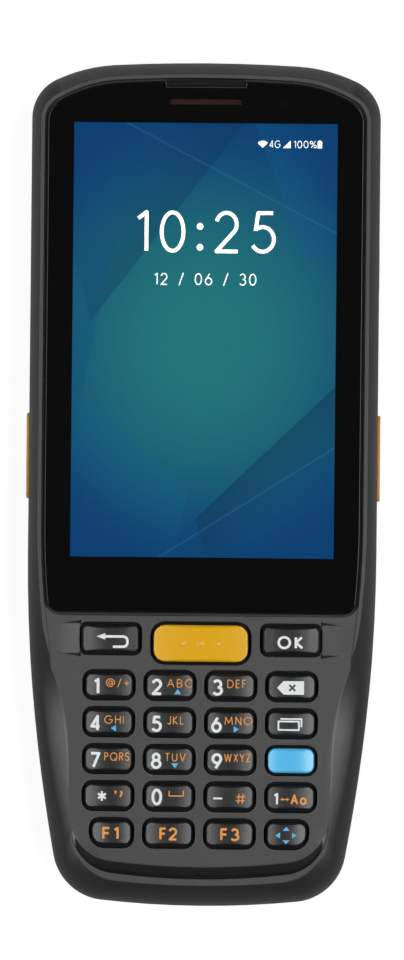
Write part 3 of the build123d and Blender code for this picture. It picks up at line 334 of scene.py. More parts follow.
# %% [markdown]
# ## Moulded plastic
# Housings of this kind are injection moulded in a blend of polycarbonate and ABS. The steel mould is
# spark eroded, which leaves a fine matt grain that hides finger marks, about 0.1 to 0.2 mm across.
# One grain would be smaller than a pixel here, so it is drawn at 0.3 mm. The recipe mixes two nearby
# tones by that grain, raises it as a small bump, and adds a slow cloudiness in roughness, as handling
# polishes a surface unevenly. A Bevel node rolls the light over the edges, and where its rounded normal
# turns from the face the colour goes paler: partly edge wear, partly a painted highlight. An occlusion
# node paints shade into the creases, gaps and hollows. Polycarbonate and ABS both have an IOR near 1.55.
# On the front housing the faces that turn away from straight up are painted darker, a painted shade on
# the flanks, and a band of the grip beside the keypad is painted paler, a painted highlight. Below the
# panel the caps and the crescent groove are painted near black, a painted shade in the gaps and groove.


# %% Moulded plastic
def moulded_plastic(
    name, base, pale, rubbed_and_lit, grain=0.3, depth=0.02, rough=(0.42, 0.56), roll=0.25, painted_gap_shade=None, painted_light_tones=()
):
    """Spark-eroded or satin plastic. Sizes in millimetres.

    Roll is how far the light rolls over an edge: a number, or a function that gives a socket. The
    painted gap shade is a function that gives the share of painted near-black shade at a place. The
    painted light tones are pairs of a colour and a function that gives the share of it from the place
    and the direction of the surface; they paint shade or a highlight.
    """
    material, tree, shader, place = blank_material(name, IOR=1.55)
    grains = mottling(tree, place, 1 / (grain * MM), 2.0, 0.6)
    clouds = mottling(tree, place, 70.0, 3.0)
    tint = blend(tree, between(tree, grains, 0.35, 0.65), base, pale)
    reach = roll(tree, place) if callable(roll) else roll * MM
    rounded = add(tree, "ShaderNodeBevel", {"Radius": reach}, samples=6).outputs[0]
    direction = add(tree, "ShaderNodeNewGeometry").outputs["Normal"]
    turned = vector_sum(tree, "DOT_PRODUCT", rounded, direction)
    # Paler where the rounded normal turns from the face: partly edge wear, partly a painted highlight.
    edge_wear_and_highlight = reckon(tree, "MULTIPLY", between(tree, turned, 0.98, 0.8), clouds)
    tint = blend(tree, edge_wear_and_highlight, tint, rubbed_and_lit)
    gloss = between(tree, clouds, 0.0, 1.0, rough[1], rough[0])
    # Painted light: each tone paints shade or a highlight over the colour, by place and facing.
    for coat, share in painted_light_tones:
        tint = blend(tree, share(tree, place, direction), tint, coat)
    # Painted shade: near black, and dull, where the mask says.
    if painted_gap_shade:
        gap_shade_share = painted_gap_shade(tree, place)
        tint = blend(tree, gap_shade_share, tint, "#060606")
        gloss = add(tree, "ShaderNodeMix", {0: gap_shade_share, 2: gloss, 3: 0.85}).outputs[0]
    # Painted shade: the occlusion node darkens creases, gaps and hollows towards near black.
    open_sky = add(tree, "ShaderNodeAmbientOcclusion", {"Distance": 0.5 * MM}, samples=6).outputs["AO"]
    tint = blend(tree, between(tree, open_sky, 0.7, 0.3, 0.0, 0.6), tint, "#050505")
    surface(tree, shader, tint, gloss, grains, depth, 0.6, Normal=rounded)
    return material


# Places on the front housing, in millimetres. X is measured from the middle line.
PANEL_LEVEL = 19.4
GRIP_Y = (-40, -54)  # where the grip begins, and where it has its full shape
FLANK_X = (24.0, 24.6)
EDGE_ROLL = (0.2, 1.5)  # at the display, and round the grip
SCOOP_X = (29.2, 29.8)
SCOOP_Y = (-37.5, -38.5)
# where the painted shoulder highlight fades in along the grip, and where it fades out
SHOULDER_HIGHLIGHT_Y = (-36, -50)
SHOULDER_HIGHLIGHT_END_Y = (-78, -70)
GROOVE_LEVEL = 19.42
GROOVE_CORNER, GROOVE_RADIUS, GROOVE_RISE, GROOVE_TOP_Y = (17.2, -71.5), 7.6, -2.4, -69.0


def aside_and_along(tree, place):
    """The distance from the middle line and the place along it, in millimetres."""
    x, y, _ = parts_of(tree, place)
    return reckon(tree, "DIVIDE", reckon(tree, "ABSOLUTE", x), MM), reckon(tree, "DIVIDE", y, MM)


def waist_roll(tree, place):
    """How far light rolls over an edge of the front: little on the display half, more round the grip."""
    aside, along = aside_and_along(tree, place)
    rolls = [reach * MM for reach in EDGE_ROLL]
    lower = between(tree, along, *GRIP_Y, *rolls, soft=True)
    return reckon(tree, "MINIMUM", lower, between(tree, aside, *FLANK_X, *rolls))


def painted_flank_shade(tree, place, direction):
    """The share of painted flank shade: it grows as a face turns away from straight up, but not in the
    scoops.
    """
    aside, along = aside_and_along(tree, place)
    away = between(tree, parts_of(tree, direction)["Z"], 0.97, 0.75, soft=True)
    outside = reckon(tree, "MAXIMUM", between(tree, aside, *SCOOP_X), between(tree, along, *SCOOP_Y))
    return reckon(tree, "MULTIPLY", away, outside)


def painted_shoulder_highlight(tree, place, direction):
    """A painted highlight on the band of the grip just outside the keypad panel, on faces that tilt part
    way down.
    """
    _, along = aside_and_along(tree, place)
    upright = parts_of(tree, direction)["Z"]
    share = reckon(tree, "MULTIPLY", between(tree, upright, 0.72, 0.9), between(tree, upright, 0.985, 0.96))
    share = reckon(tree, "MULTIPLY", share, between(tree, along, *SHOULDER_HIGHLIGHT_Y, soft=True))
    return reckon(tree, "MULTIPLY", share, between(tree, along, *SHOULDER_HIGHLIGHT_END_Y, soft=True))


def below(level):
    """A mask that is 1 under a height in millimetres and 0 over it."""
    return lambda tree, place: between(
        tree, parts_of(tree, place)["Z"], level * MM, (level + 0.1) * MM, 1.0, 0.0
    )


def painted_groove_shade(tree, place):
    """Painted shade: 1 in the crescent groove, under the panel and inside a rounded rectangle that ends on
    the lip.
    """
    aside, along = aside_and_along(tree, place)
    over_x = reckon(tree, "MAXIMUM", reckon(tree, "SUBTRACT", aside, GROOVE_CORNER[0]), 0.0)
    over_y = reckon(tree, "MAXIMUM", reckon(tree, "SUBTRACT", GROOVE_CORNER[1], along), GROOVE_RISE)
    over = add(tree, "ShaderNodeCombineXYZ", {0: over_x, 1: over_y}).outputs[0]
    inside = reckon(tree, "LESS_THAN", vector_sum(tree, "LENGTH", over), GROOVE_RADIUS)
    inside = reckon(tree, "MULTIPLY", inside, reckon(tree, "LESS_THAN", along, GROOVE_TOP_Y))
    return reckon(tree, "MULTIPLY", inside, below(GROOVE_LEVEL)(tree, place))


# The grey front: painted shade in the groove and on the flanks, and a painted highlight on the grip's
# shoulder band.
front_abs = moulded_plastic(
    "abs_spark_eroded_grey",
    "#2c2c2d",
    "#363637",
    "#707072",
    rough=(0.4, 0.52),
    roll=waist_roll,
    painted_gap_shade=painted_groove_shade,
    painted_light_tones=[("#161616", painted_flank_shade), ("#707072", painted_shoulder_highlight)],
)
back_abs = moulded_plastic("abs_spark_eroded_black", "#1c1c1d", "#262627", "#3c3c3e")
# Below the panel the caps are painted near black: a painted shade in the gaps round them.
cap = {"grain": 0.35, "painted_gap_shade": below(PANEL_LEVEL)}
glossy = {"depth": 0.002, "rough": (0.17, 0.22)}
key_abs = moulded_plastic(
    "abs_satin_key_grey", "#151517", "#1c1c1e", "#626264", depth=0.035, rough=(0.24, 0.32), **cap
)
scan_abs = moulded_plastic("abs_satin_yellow", "#eaae0c", "#edb41c", "#f4c650", **cap, **glossy)
blue_abs = moulded_plastic("abs_satin_blue", "#56c2f8", "#62cafb", "#98defd", **cap, **glossy)
amber_abs = moulded_plastic("abs_satin_amber", "#e6a02c", "#eaa838", "#f4c478", grain=0.35, **glossy)
black_abs = moulded_plastic("abs_moulded_black", "#151516", "#1d1d1f", "#333335", 0.35, 0.01)
battery_case = moulded_plastic("polycarbonate_battery_case", "#1c1c1e", "#242427", "#3c3c40")
print("moulded plastics made: 8")

# %% [markdown]
# ## Silicone rubber
# The keypad mat and the seals are moulded silicone: a soft, dull grey-black skin with no sharp
# reflections and a faint bloom of dust. The bloom is a slow pattern of paler patches, and the sheen
# socket adds the soft glow that dusty rubber shows at grazing angles. Silicone's IOR is about 1.41.


# %% Silicone
def silicone(name, base, bloom):
    """Dull rubber with paler patches of dust."""
    dusty = {"IOR": 1.41, "Sheen Weight": 0.15, "Sheen Roughness": 0.6}
    material, tree, shader, place = blank_material(name, **dusty)
    patches = mottling(tree, place, 220.0, 4.0)
    tint = blend(tree, between(tree, patches, 0.4, 0.75), base, bloom)
    surface(tree, shader, tint, between(tree, patches, 0.0, 1.0, 0.62, 0.78), patches, 0.01)
    return material


dark_silicone = silicone("silicone_moulded_black", "#19191a", "#29292b")
print("silicone made:", dark_silicone.name)

# %% [markdown]
# ## Metals
# Stamped steel, die-cast magnesium and gold plating differ in colour and in what their surface does
# to a reflection. Brushing stretches the scratches along one direction, so the noise is squeezed
# across it; casting and plating leave an even, fine pattern. Metallic is 1 and the IOR stays at its
# default, because a metal's reflection is set by its colour.


# %% Metals
def metal(name, base, shade, grain, stretch, rough):
    """Grain is the spacing of the surface pattern in millimetres; stretch draws it out along X."""
    material, tree, shader, place = blank_material(name, Metallic=1.0)
    drawn_out = {"Vector": place, "Scale": (1 / stretch, 1.0, 1.0)}
    drawn_out = add(tree, "ShaderNodeMapping", drawn_out).outputs[0]
    lines = mottling(tree, drawn_out, 1 / (grain * MM), 3.0)
    tint = blend(tree, lines, base, shade)
    surface(tree, shader, tint, between(tree, lines, 0.0, 1.0, *rough), lines, 0.004, 0.4)
    return material


brushed_steel = metal("steel_stamped_brushed", "#b4b6ba", "#8e9094", 0.15, 14.0, (0.22, 0.4))
cast_magnesium = metal("magnesium_die_cast", "#a2a4a6", "#7d7f81", 0.5, 1.0, (0.42, 0.6))
gold_plate = metal("gold_plated_contact", "#e8c06a", "#cf9f44", 0.3, 1.0, (0.16, 0.3))
print("metals made: 3")

# %% [markdown]
# ## Woven mesh, circuit board and dome film
# The acoustic meshes are woven from blackened steel wire, about 0.1 mm from thread to thread, and a
# weave is two waves at right angles, drawn here at 0.25 mm so that it shows. A circuit board is
# glass-fibre laminate under a green solder mask: copper tracks lift the mask a little and show
# paler, which a grid of small cells stands for. The snap domes lie under a clear amber film.

# %% Mesh, board and film
WAVES_PER_SCALE = 20 / (2 * pi)  # a Wave texture of scale 1 has this many bands per metre


def wire_mesh(name, pitch=0.25):
    """Woven wire: two waves at right angles. The pitch is in millimetres."""
    material, tree, shader, place = blank_material(name, Metallic=1.0)
    wave = {"Vector": place, "Scale": 1 / (pitch * MM) / WAVES_PER_SCALE}
    across, along = (
        add(tree, "ShaderNodeTexWave", wave, bands_direction=direction).outputs[1] for direction in "XY"
    )
    weave = reckon(tree, "MULTIPLY", across, along)
    tint = blend(tree, weave, "#0c0c0d", "#4a4b4d")
    surface(tree, shader, tint, between(tree, weave, 0.0, 1.0, 0.8, 0.4), weave, 0.05, 0.8)
    return material


def laminate(name, base, track, rough, cell=1.4):
    """A glossy layered sheet with a pattern of raised cells, such as solder mask over copper."""
    material, tree, shader, place = blank_material(name, **{"IOR": 1.55, "Coat Weight": 0.3})
    cells = {"Vector": place, "Scale": 1 / (cell * MM)}
    cells = add(tree, "ShaderNodeTexVoronoi", cells, distance="MANHATTAN", feature="F1").outputs[0]
    lines = between(tree, cells, 0.42, 0.5)
    gloss = between(tree, lines, 0.0, 1.0, rough, rough + 0.15)
    surface(tree, shader, blend(tree, lines, base, track), gloss, lines, 0.03, 0.6)
    return material


black_mesh = wire_mesh("steel_woven_black_mesh")
solder_mask = laminate("laminate_green_solder_mask", "#0f4a2c", "#1c6b40", 0.28)
dome_sheet = laminate("polyester_amber_dome_film", "#b89c58", "#c9b27a", 0.2, 4.0)
print("mesh, board and film made")

# %% [markdown]
# ## Cover glass
# The cover is one sheet of toughened glass. Black ink is printed on its back everywhere but over the
# display, the camera and the indicator. Light passes only where there is no ink, so the transmission
# weight is a mask worked out from the position on the sheet: 1 inside those windows, 0 on the ink.
# Soda-lime glass has an IOR of 1.5, and a polished sheet has almost no roughness; faint smears from
# wiping change it a little. The edge is ground at 45 degrees, and ground glass scatters light, so the
# chamfer is paler and rough: it is found by the direction of its normal.

# %% Cover glass
GLASS_BLACK = "#060607"
_, glass_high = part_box("cover_glass")
display_low, display_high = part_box("display_module")
ACTIVE_WIDTH = 52.8 * MM
ACTIVE_LENGTH = 87.1 * MM
active_centre = Vector((0, (display_low.y + display_high.y) / 2 + 1.9 * MM, 0))
indicator_low, indicator_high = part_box("indicator_window")
camera_low, camera_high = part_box("front_camera")
PRINT_OVERLAP = 0.15 * MM
LENS_OPENING = 0.9 * MM


def inside_rectangle(tree, place, centre, width, length, softness=0.05 * MM):
    """1 inside a rectangle on the face and 0 outside it, as a socket."""
    away = vector_sum(tree, "SUBTRACT", place, (centre.x, centre.y, 0))
    x, y, _ = parts_of(tree, vector_sum(tree, "ABSOLUTE", away))
    within_x = between(tree, x, width / 2, width / 2 + softness, 1.0, 0.0)
    within_y = between(tree, y, length / 2, length / 2 + softness, 1.0, 0.0)
    return reckon(tree, "MULTIPLY", within_x, within_y)


def toughened_glass():
    """Clear inside the windows, black ink outside them, and a ground edge."""
    material, tree, shader, place = blank_material("glass_toughened_black_print", IOR=1.5)
    display = inside_rectangle(tree, place, active_centre, ACTIVE_WIDTH, ACTIVE_LENGTH)
    size = indicator_high - indicator_low
    opening = [side - 2 * PRINT_OVERLAP for side in (size.x, size.y)]
    indicator = inside_rectangle(tree, place, (indicator_low + indicator_high) / 2, *opening)
    lens_middle = (camera_low + camera_high) / 2
    from_lens = vector_sum(tree, "DISTANCE", place, (lens_middle.x, lens_middle.y, glass_high.z))
    lens = between(tree, from_lens, LENS_OPENING, LENS_OPENING + 0.05 * MM, 1.0, 0.0)
    clear = reckon(tree, "MAXIMUM", reckon(tree, "MAXIMUM", display, indicator), lens)
    clear = reckon(tree, "GREATER_THAN", clear, 0.5)
    gloss = between(tree, mottling(tree, place, 60.0, 3.0), 0.4, 0.8, 0.0, 0.04)
    upright = parts_of(tree, add(tree, "ShaderNodeNewGeometry").outputs["True Normal"])["Z"]
    slanted = reckon(tree, "GREATER_THAN", upright, 0.2)
    ground = reckon(tree, "MULTIPLY", slanted, reckon(tree, "LESS_THAN", upright, 0.95))
    tint = blend(tree, ground, blend(tree, clear, GLASS_BLACK, "#ffffff"), "#1e1e20")
    gloss = add(tree, "ShaderNodeMix", {0: ground, 2: gloss, 3: 0.4}).outputs[0]
    surface(tree, shader, tint, gloss)
    tree.links.new(clear, shader.inputs["Transmission Weight"])
    return material


cover_glass = toughened_glass()
print("active area %.1f x %.1f mm" % (ACTIVE_WIDTH / MM, ACTIVE_LENGTH / MM))

# %% [markdown]
# ## The lit display
# A display gives its own light, so its picture goes into the emission of the panel's front. The
# picture is a plain wallpaper: a teal glow in the middle that falls off to deep blue, with a few
# facets like folded paper. The glow is a distance from one point. A facet has one sharp edge, fades
# out away from it, and ends at a second line. All of it is worked out from the position on the
# panel, so there is no image file. The panel is bonded to the glass, so it has no reflection itself.

# %% Display panel
GLOW_MIDDLE, GLOW_EDGE = "#1f777b", "#014076"
GLOW_REACH = (0.08, 0.54)
GLOW_SQUEEZE = 0.66
# Each facet: direction across its sharp edge and where the edge lies, how far it fades, direction and
# place of the line that ends it, colour and weight. Places run from -0.5 to 0.5 over the picture.
DISPLAY_FACETS = [
    ((-0.62, 0.78), 0.3, 0.2, (1.0, 0.35), -0.42, "#02305c", 0.4),
    ((0.85, 0.52), 0.42, 0.16, (-0.3, 0.95), 0.05, "#0b5c8e", 0.35),
    ((0.5, -0.86), 0.34, 0.14, (0.9, 0.43), -0.2, "#022c50", 0.5),
    ((-0.45, -0.89), 0.33, 0.2, (-0.95, 0.3), -0.05, "#0c6488", 0.35),
    ((-0.95, 0.31), 0.4, 0.14, (0.2, -0.98), -0.3, "#04507e", 0.4),
    ((0.3, 0.954), 0.385, 0.006, (1.0, 0.0), -0.5, "#2d83a8", 0.3),
    ((-0.36, 0.933), -0.41, 0.006, (1.0, 0.0), -0.5, "#2d83a8", 0.3),
]


def lit_panel():
    """A dark panel that gives out the picture: a glow and the facets over it."""
    dark = {"Base Color": colour("#020203"), "IOR": 1.5, "Specular IOR Level": 0.0, "Roughness": 0.5}
    material, tree, shader, place = blank_material("display_panel_lit", **dark)
    local = vector_sum(tree, "SUBTRACT", place, (active_centre.x, active_centre.y, 0))
    shrink = {"Vector": local, "Scale": (1 / ACTIVE_WIDTH, 1 / ACTIVE_LENGTH, 0)}
    local = add(tree, "ShaderNodeMapping", shrink).outputs[0]
    squeezed = {"Vector": local, "Scale": (GLOW_SQUEEZE, 1.0, 0)}
    squeezed = add(tree, "ShaderNodeMapping", squeezed).outputs[0]
    fall = between(tree, vector_sum(tree, "LENGTH", squeezed), *GLOW_REACH, soft=True)
    picture = blend(tree, fall, GLOW_MIDDLE, GLOW_EDGE)
    for across, start, fade, limit, stop, tint, weight in DISPLAY_FACETS:
        beyond = vector_sum(tree, "DOT_PRODUCT", local, (*across, 0))
        share = between(tree, beyond, start, start + fade, weight, 0.0)
        share = reckon(tree, "MULTIPLY", share, reckon(tree, "GREATER_THAN", beyond, start))
        side = reckon(tree, "GREATER_THAN", vector_sum(tree, "DOT_PRODUCT", local, (*limit, 0)), stop)
        picture = blend(tree, reckon(tree, "MULTIPLY", share, side), picture, tint)
    on = inside_rectangle(tree, place, active_centre, ACTIVE_WIDTH, ACTIVE_LENGTH)
    tree.links.new(blend(tree, on, "#000000", picture), shader.inputs["Emission Color"])
    shader.inputs["Emission Strength"].default_value = 1.0
    return material


display_panel = lit_panel()
print("display panel made, with %d facets" % len(DISPLAY_FACETS))

# %% [markdown]
# ## Lenses and windows
# The indicator bar is a clear red acrylic light guide, dark while it is off. The scan window is
# polished acrylic of a red so deep that it looks black until a lamp is behind it. Lens barrels are
# gloss black with a coated glass front. These are small glossy pieces: a low roughness with a little
# variation, and a coat where there is a second, clearer layer on top.


# %% Lenses and windows
def polished(name, base, depth_tint, roughness, coat):
    """A small glossy piece, with a little haze and, for a lens, a coat."""
    material, tree, shader, place = blank_material(name, **{"IOR": 1.49, "Coat Weight": coat})
    haze = mottling(tree, place, 300.0, 2.0)
    gloss = between(tree, haze, 0.0, 1.0, roughness, roughness + 0.06)
    surface(tree, shader, blend(tree, haze, base, depth_tint), gloss)
    return material


red_guide = polished("acrylic_dark_red_light_guide", "#3a1418", "#52181c", 0.15, 0.0)
smoke_acrylic = polished("acrylic_smoke_red_window", "#1a0608", "#260a0c", 0.04, 0.5)
lens_black = polished("lens_barrel_gloss_black", "#070708", "#101014", 0.05, 1.0)
print("lenses and windows made: 3")

# %% [markdown]
# ## Give every node its finish
# One table says which nodes share a finish. Anything that is not in the table would keep the plain
# material of the solid model, so the loop prints how many nodes are left without one.

# %% Assign materials
caps = [name for name in nodes if name.startswith("key_") and name not in ("key_scan", "key_blue")]
steel_pieces = ["housing_screws", "card_holder", "side_switches", "vibration_motor", "usb_socket"]
finishes = {
    front_abs: ["front_housing"],
    back_abs: ["rear_housing", "battery_cover"],
    scan_abs: ["key_scan"],
    blue_abs: ["key_blue"],
    amber_abs: ["trigger_left", "trigger_right"],
    key_abs: ["volume_key", "power_key", "battery_latch", *caps],
    black_abs: ["microphone", "earpiece", "scan_engine", "battery_connector", "loudspeaker"],
    battery_case: ["battery_pack"],
    dark_silicone: ["keypad_mat", "housing_gasket", "battery_cover_seal"],
    brushed_steel: [*steel_pieces, "wrist_strap_bar"],
    cast_magnesium: ["midframe"],
    gold_plate: ["charging_contacts"],
    black_mesh: ["earpiece_mesh", "loudspeaker_mesh"],
    solder_mask: ["keypad_board", "main_board"],
    dome_sheet: ["snap_domes"],
    cover_glass: ["cover_glass"],
    display_panel: ["display_module"],
    red_guide: ["indicator_window"],
    smoke_acrylic: ["scan_window"],
    lens_black: ["front_camera", "rear_camera", "camera_window"],
}
for material, names in finishes.items():
    for name in names:
        nodes[name].data.materials.clear()
        nodes[name].data.materials.append(material)
finished = {name for names in finishes.values() for name in names}
print("nodes without a finish:", sorted(set(nodes) - finished))

# %% [markdown]
# ## Printing inks
# Legends are pad printed: a thin, even film of ink that follows the key top, satin, with edges that
# are a little soft. Each ink has a faint mottling, where the pad leaves slightly less of it.


# %% Inks
def printing_ink(name, base, thin, glow=0.0):
    """A satin ink with a faint mottling; glow makes it a lit sign."""
    material, tree, shader, place = blank_material(name, IOR=1.5)
    mottle = mottling(tree, place, 2500.0, 2.0)
    tint = blend(tree, mottle, base, thin)
    surface(tree, shader, tint, between(tree, mottle, 0.0, 1.0, 0.45, 0.6))
    if glow:
        tree.links.new(tint, shader.inputs["Emission Color"])
        shader.inputs["Emission Strength"].default_value = glow
    return material


inks = {
    "white": printing_ink("ink_pad_printed_white", "#f2f5f6", "#e2e6e8"),
    "orange": printing_ink("ink_pad_printed_orange", "#f2a03c", "#e89430"),
    "blue": printing_ink("ink_pad_printed_blue", "#5bc0f5", "#4cb0e6"),
    "dark": printing_ink("ink_pad_printed_dark", "#3c3c3e", "#444446"),
    "lit": printing_ink("display_lit_white", "#ffffff", "#f4f8f8", 1.0),
}
print("inks:", sorted(inks))

# %% [markdown]
# ## A stroke alphabet
# The legends are numbers and plain letters. A stroke alphabet draws each of them with lines and arcs
# of a pen of any width, so the same shapes give the bold white numbers and the fine orange letters.
# A run of numbers is a polyline, and a six-number arc is (centre x, centre y, radius x, radius y,
# start, end) in degrees. Heights are in units of the letter's height. Where strokes overlap, the
# constrained triangulation in mathutils merges them into one flat shape with no doubled faces.

# %% Stroke alphabet
STROKES = {
    "0": [("arc", 0.31, 0.5, 0.31, 0.5, 0, 360)],
    "1": [(0.06, 0.84, 0.3, 1.0, 0.3, 0.0)],
    "2": [("arc", 0.3, 0.7, 0.29, 0.3, 165, -35), (0.535, 0.53, 0.02, 0.0, 0.62, 0.0)],
    "3": [("arc", 0.28, 0.74, 0.26, 0.26, 150, -80), ("arc", 0.28, 0.27, 0.31, 0.27, 80, -150)],
    "4": [(0.5, 0.0, 0.5, 1.0, 0.0, 0.27, 0.68, 0.27)],
    "5": [(0.56, 1.0, 0.14, 1.0, 0.07, 0.54), ("arc", 0.27, 0.32, 0.32, 0.32, 128, -150)],
    "6": [("arc", 0.31, 0.31, 0.31, 0.31, 0, 360), (0.04, 0.46, 0.4, 1.0)],
    "7": [(0.0, 1.0, 0.58, 1.0, 0.18, 0.0)],
    "8": [("arc", 0.3, 0.76, 0.23, 0.24, 0, 360), ("arc", 0.3, 0.27, 0.3, 0.27, 0, 360)],
    "9": [("arc", 0.31, 0.69, 0.31, 0.31, 0, 360), (0.58, 0.54, 0.22, 0.0)],
    "A": [(0.0, 0.0, 0.4, 1.0, 0.8, 0.0), (0.14, 0.35, 0.66, 0.35)],
    "B": [(0.28, 0.0, 0.0, 0.0, 0.0, 1.0, 0.26, 1.0), (0.0, 0.52, 0.28, 0.52)]
    + [("arc", 0.26, 0.76, 0.24, 0.24, 90, -90), ("arc", 0.28, 0.26, 0.28, 0.26, 90, -90)],
    "C": [("arc", 0.48, 0.5, 0.48, 0.5, 48, 312)],
    "D": [(0.26, 0.0, 0.0, 0.0, 0.0, 1.0, 0.26, 1.0), ("arc", 0.26, 0.5, 0.48, 0.5, 90, -90)],
    "E": [(0.46, 1.0, 0.0, 1.0, 0.0, 0.0, 0.46, 0.0), (0.0, 0.52, 0.42, 0.52)],
    "F": [(0.46, 1.0, 0.0, 1.0, 0.0, 0.0), (0.0, 0.52, 0.42, 0.52)],
    "G": [("arc", 0.5, 0.5, 0.5, 0.5, 48, 360), (1.0, 0.5, 0.56, 0.5)],
    "H": [(0.0, 0.0, 0.0, 1.0), (0.64, 0.0, 0.64, 1.0), (0.0, 0.52, 0.64, 0.52)],
    "I": [(0.0, 0.0, 0.0, 1.0)],
    "J": [(0.4, 1.0, 0.4, 0.2), ("arc", 0.2, 0.2, 0.2, 0.2, 0, -165)],
    "K": [(0.0, 0.0, 0.0, 1.0), (0.52, 1.0, 0.02, 0.5, 0.58, 0.0)],
    "L": [(0.0, 1.0, 0.0, 0.0, 0.42, 0.0)],
    "M": [(0.0, 0.0, 0.12, 1.0, 0.48, 0.2, 0.84, 1.0, 0.96, 0.0)],
    "N": [(0.0, 0.0, 0.0, 1.0, 0.64, 0.0, 0.64, 1.0)],
    "O": [("arc", 0.5, 0.5, 0.5, 0.5, 0, 360)],
    "P": [(0.0, 0.0, 0.0, 1.0, 0.24, 1.0), (0.0, 0.5, 0.24, 0.5), ("arc", 0.24, 0.75, 0.25, 0.25, 90, -90)],
    "Q": [("arc", 0.5, 0.5, 0.5, 0.5, 0, 360), (0.6, 0.3, 0.98, -0.05)],
    "R": [(0.0, 0.0, 0.0, 1.0, 0.24, 1.0), (0.0, 0.5, 0.24, 0.5)]
    + [("arc", 0.24, 0.75, 0.25, 0.25, 90, -90), (0.22, 0.5, 0.52, 0.0)],
    "S": [("arc", 0.25, 0.75, 0.23, 0.25, 35, 265), ("arc", 0.25, 0.25, 0.26, 0.25, 85, -145)],
    "T": [(0.0, 1.0, 0.52, 1.0), (0.26, 1.0, 0.26, 0.0)],
    "U": [(0.0, 1.0, 0.0, 0.3), ("arc", 0.29, 0.3, 0.29, 0.3, 180, 360), (0.58, 0.3, 0.58, 1.0)],
    "V": [(0.0, 1.0, 0.36, 0.0, 0.72, 1.0)],
    "W": [(0.0, 1.0, 0.26, 0.0, 0.52, 0.95, 0.78, 0.0, 1.04, 1.0)],
    "X": [(0.0, 0.0, 0.56, 1.0), (0.0, 1.0, 0.56, 0.0)],
    "Y": [(0.0, 1.0, 0.3, 0.48, 0.6, 1.0), (0.3, 0.48, 0.3, 0.0)],
    "Z": [(0.0, 1.0, 0.52, 1.0, 0.0, 0.0, 0.54, 0.0)],
    "a": [("arc", 0.32, 0.32, 0.32, 0.32, 0, 360), (0.64, 0.64, 0.64, 0.0)],
    "@": [("arc", 0.5, 0.5, 0.21, 0.24, 0, 360), (0.71, 0.72, 0.71, 0.42)]
    + [("arc", 0.85, 0.42, 0.14, 0.14, 180, 360), ("arc", 0.5, 0.5, 0.5, 0.5, -8, 305)],
    "/": [(0.0, -0.08, 0.42, 1.08)],
    "+": [(0.0, 0.44, 0.56, 0.44), (0.28, 0.14, 0.28, 0.74)],
    "#": [(0.22, 0.0, 0.3, 1.0), (0.58, 0.0, 0.66, 1.0), (0.0, 0.3, 0.82, 0.3), (0.04, 0.68, 0.86, 0.68)],
    "*": [(0.3, 0.2, 0.3, 0.8), (0.04, 0.35, 0.56, 0.65), (0.04, 0.65, 0.56, 0.35)],
    ":": [("arc", 0.04, 0.1, 0.04, 0.04, 0, 360), ("arc", 0.04, 0.64, 0.04, 0.04, 0, 360)],
    "%": [("arc", 0.17, 0.78, 0.17, 0.21, 0, 360), ("arc", 0.73, 0.22, 0.17, 0.21, 0, 360)]
    + [(0.16, 0.0, 0.74, 1.0)],
    " ": [],
}
ARC_STEP = 15.0
JOINT_SIDES = 12


def stroke_points(stroke):
    """A stroke as a list of points."""
    if stroke[0] != "arc":
        return list(zip(stroke[0::2], stroke[1::2]))
    _, x, y, radius_x, radius_y, start, end = stroke
    steps = max(3, round(abs(end - start) / ARC_STEP))
    angles = [radians(start + (end - start) * step / steps) for step in range(steps + 1)]
    return [(x + radius_x * cos(angle), y + radius_y * sin(angle)) for angle in angles]


def inked(points, pen):
    """The polygons that a pen of a width covers along a run of points: flat ends, round joints."""
    covered = []
    for (x0, y0), (x1, y1) in zip(points, points[1:]):
        length = hypot(x1 - x0, y1 - y0)
        aside_x, aside_y = (y0 - y1) / length * pen / 2, (x1 - x0) / length * pen / 2
        covered.append(
            [
                (x0 - aside_x, y0 - aside_y),
                (x1 - aside_x, y1 - aside_y),
                (x1 + aside_x, y1 + aside_y),
                (x0 + aside_x, y0 + aside_y),
            ]
        )
    closed = hypot(points[0][0] - points[-1][0], points[0][1] - points[-1][1]) < pen / 10
    for x, y in points if closed else points[1:-1]:
        spokes = [radians(360 * side / JOINT_SIDES) for side in range(JOINT_SIDES)]
        covered.append([(x + pen / 2 * cos(angle), y + pen / 2 * sin(angle)) for angle in spokes])
    return covered


def lettering(text, x, y, width, height, pen, gap=0.3):
    """Polygons of a line of text, centred on a place and fitted to a width. Millimetres."""
    runs, cursor = [], 0.0
    for letter in text:
        letter_runs = [stroke_points(stroke) for stroke in STROKES[letter]]
        places = [px for run in letter_runs for px, _ in run] or [0.0, 0.4]
        runs += [[(px - min(places) + cursor, py) for px, py in run] for run in letter_runs]
        cursor += max(places) - min(places) + gap + pen / height
    total = cursor - gap - pen / height
    stretch = (width - pen) / total if total else 1.0
    tall = height - pen
    polygons = []
    for run in runs:
        placed = [(x + (px - total / 2) * stretch, y + (py - 0.5) * tall) for px, py in run]
        polygons += inked(placed, pen)
    return polygons


print("letters and signs:", len(STROKES))

# %% [markdown]
# ## From strokes to pieces
# Each legend becomes one thin piece that rides on its key. The triangulation takes all polygons of a
# legend at once and returns triangles that cover each spot once. A lattice of points every 0.5 mm
# lets a large sign follow the crowned key top. A Solidify modifier gives the ink film a thickness of
# 0.02 mm, drawn a little thicker than real ink so that it never flickers.

# %% Print on a surface
INK_FILM = 0.02
INK_LIFT = 0.01
LATTICE = 0.5
printed = []
surfaces = {}


def height_of(name, x, y):
    """The height of a node's upper surface at a place, in metres."""
    if name not in surfaces:
        mesh = nodes[name].data
        corners = [vertex.co for vertex in mesh.vertices]
        surfaces[name] = BVHTree.FromPolygons(corners, [polygon.vertices[:] for polygon in mesh.polygons])
    hit = surfaces[name].ray_cast(Vector((x, y, 1)), Vector((0, 0, -1)))[0]
    return hit.z


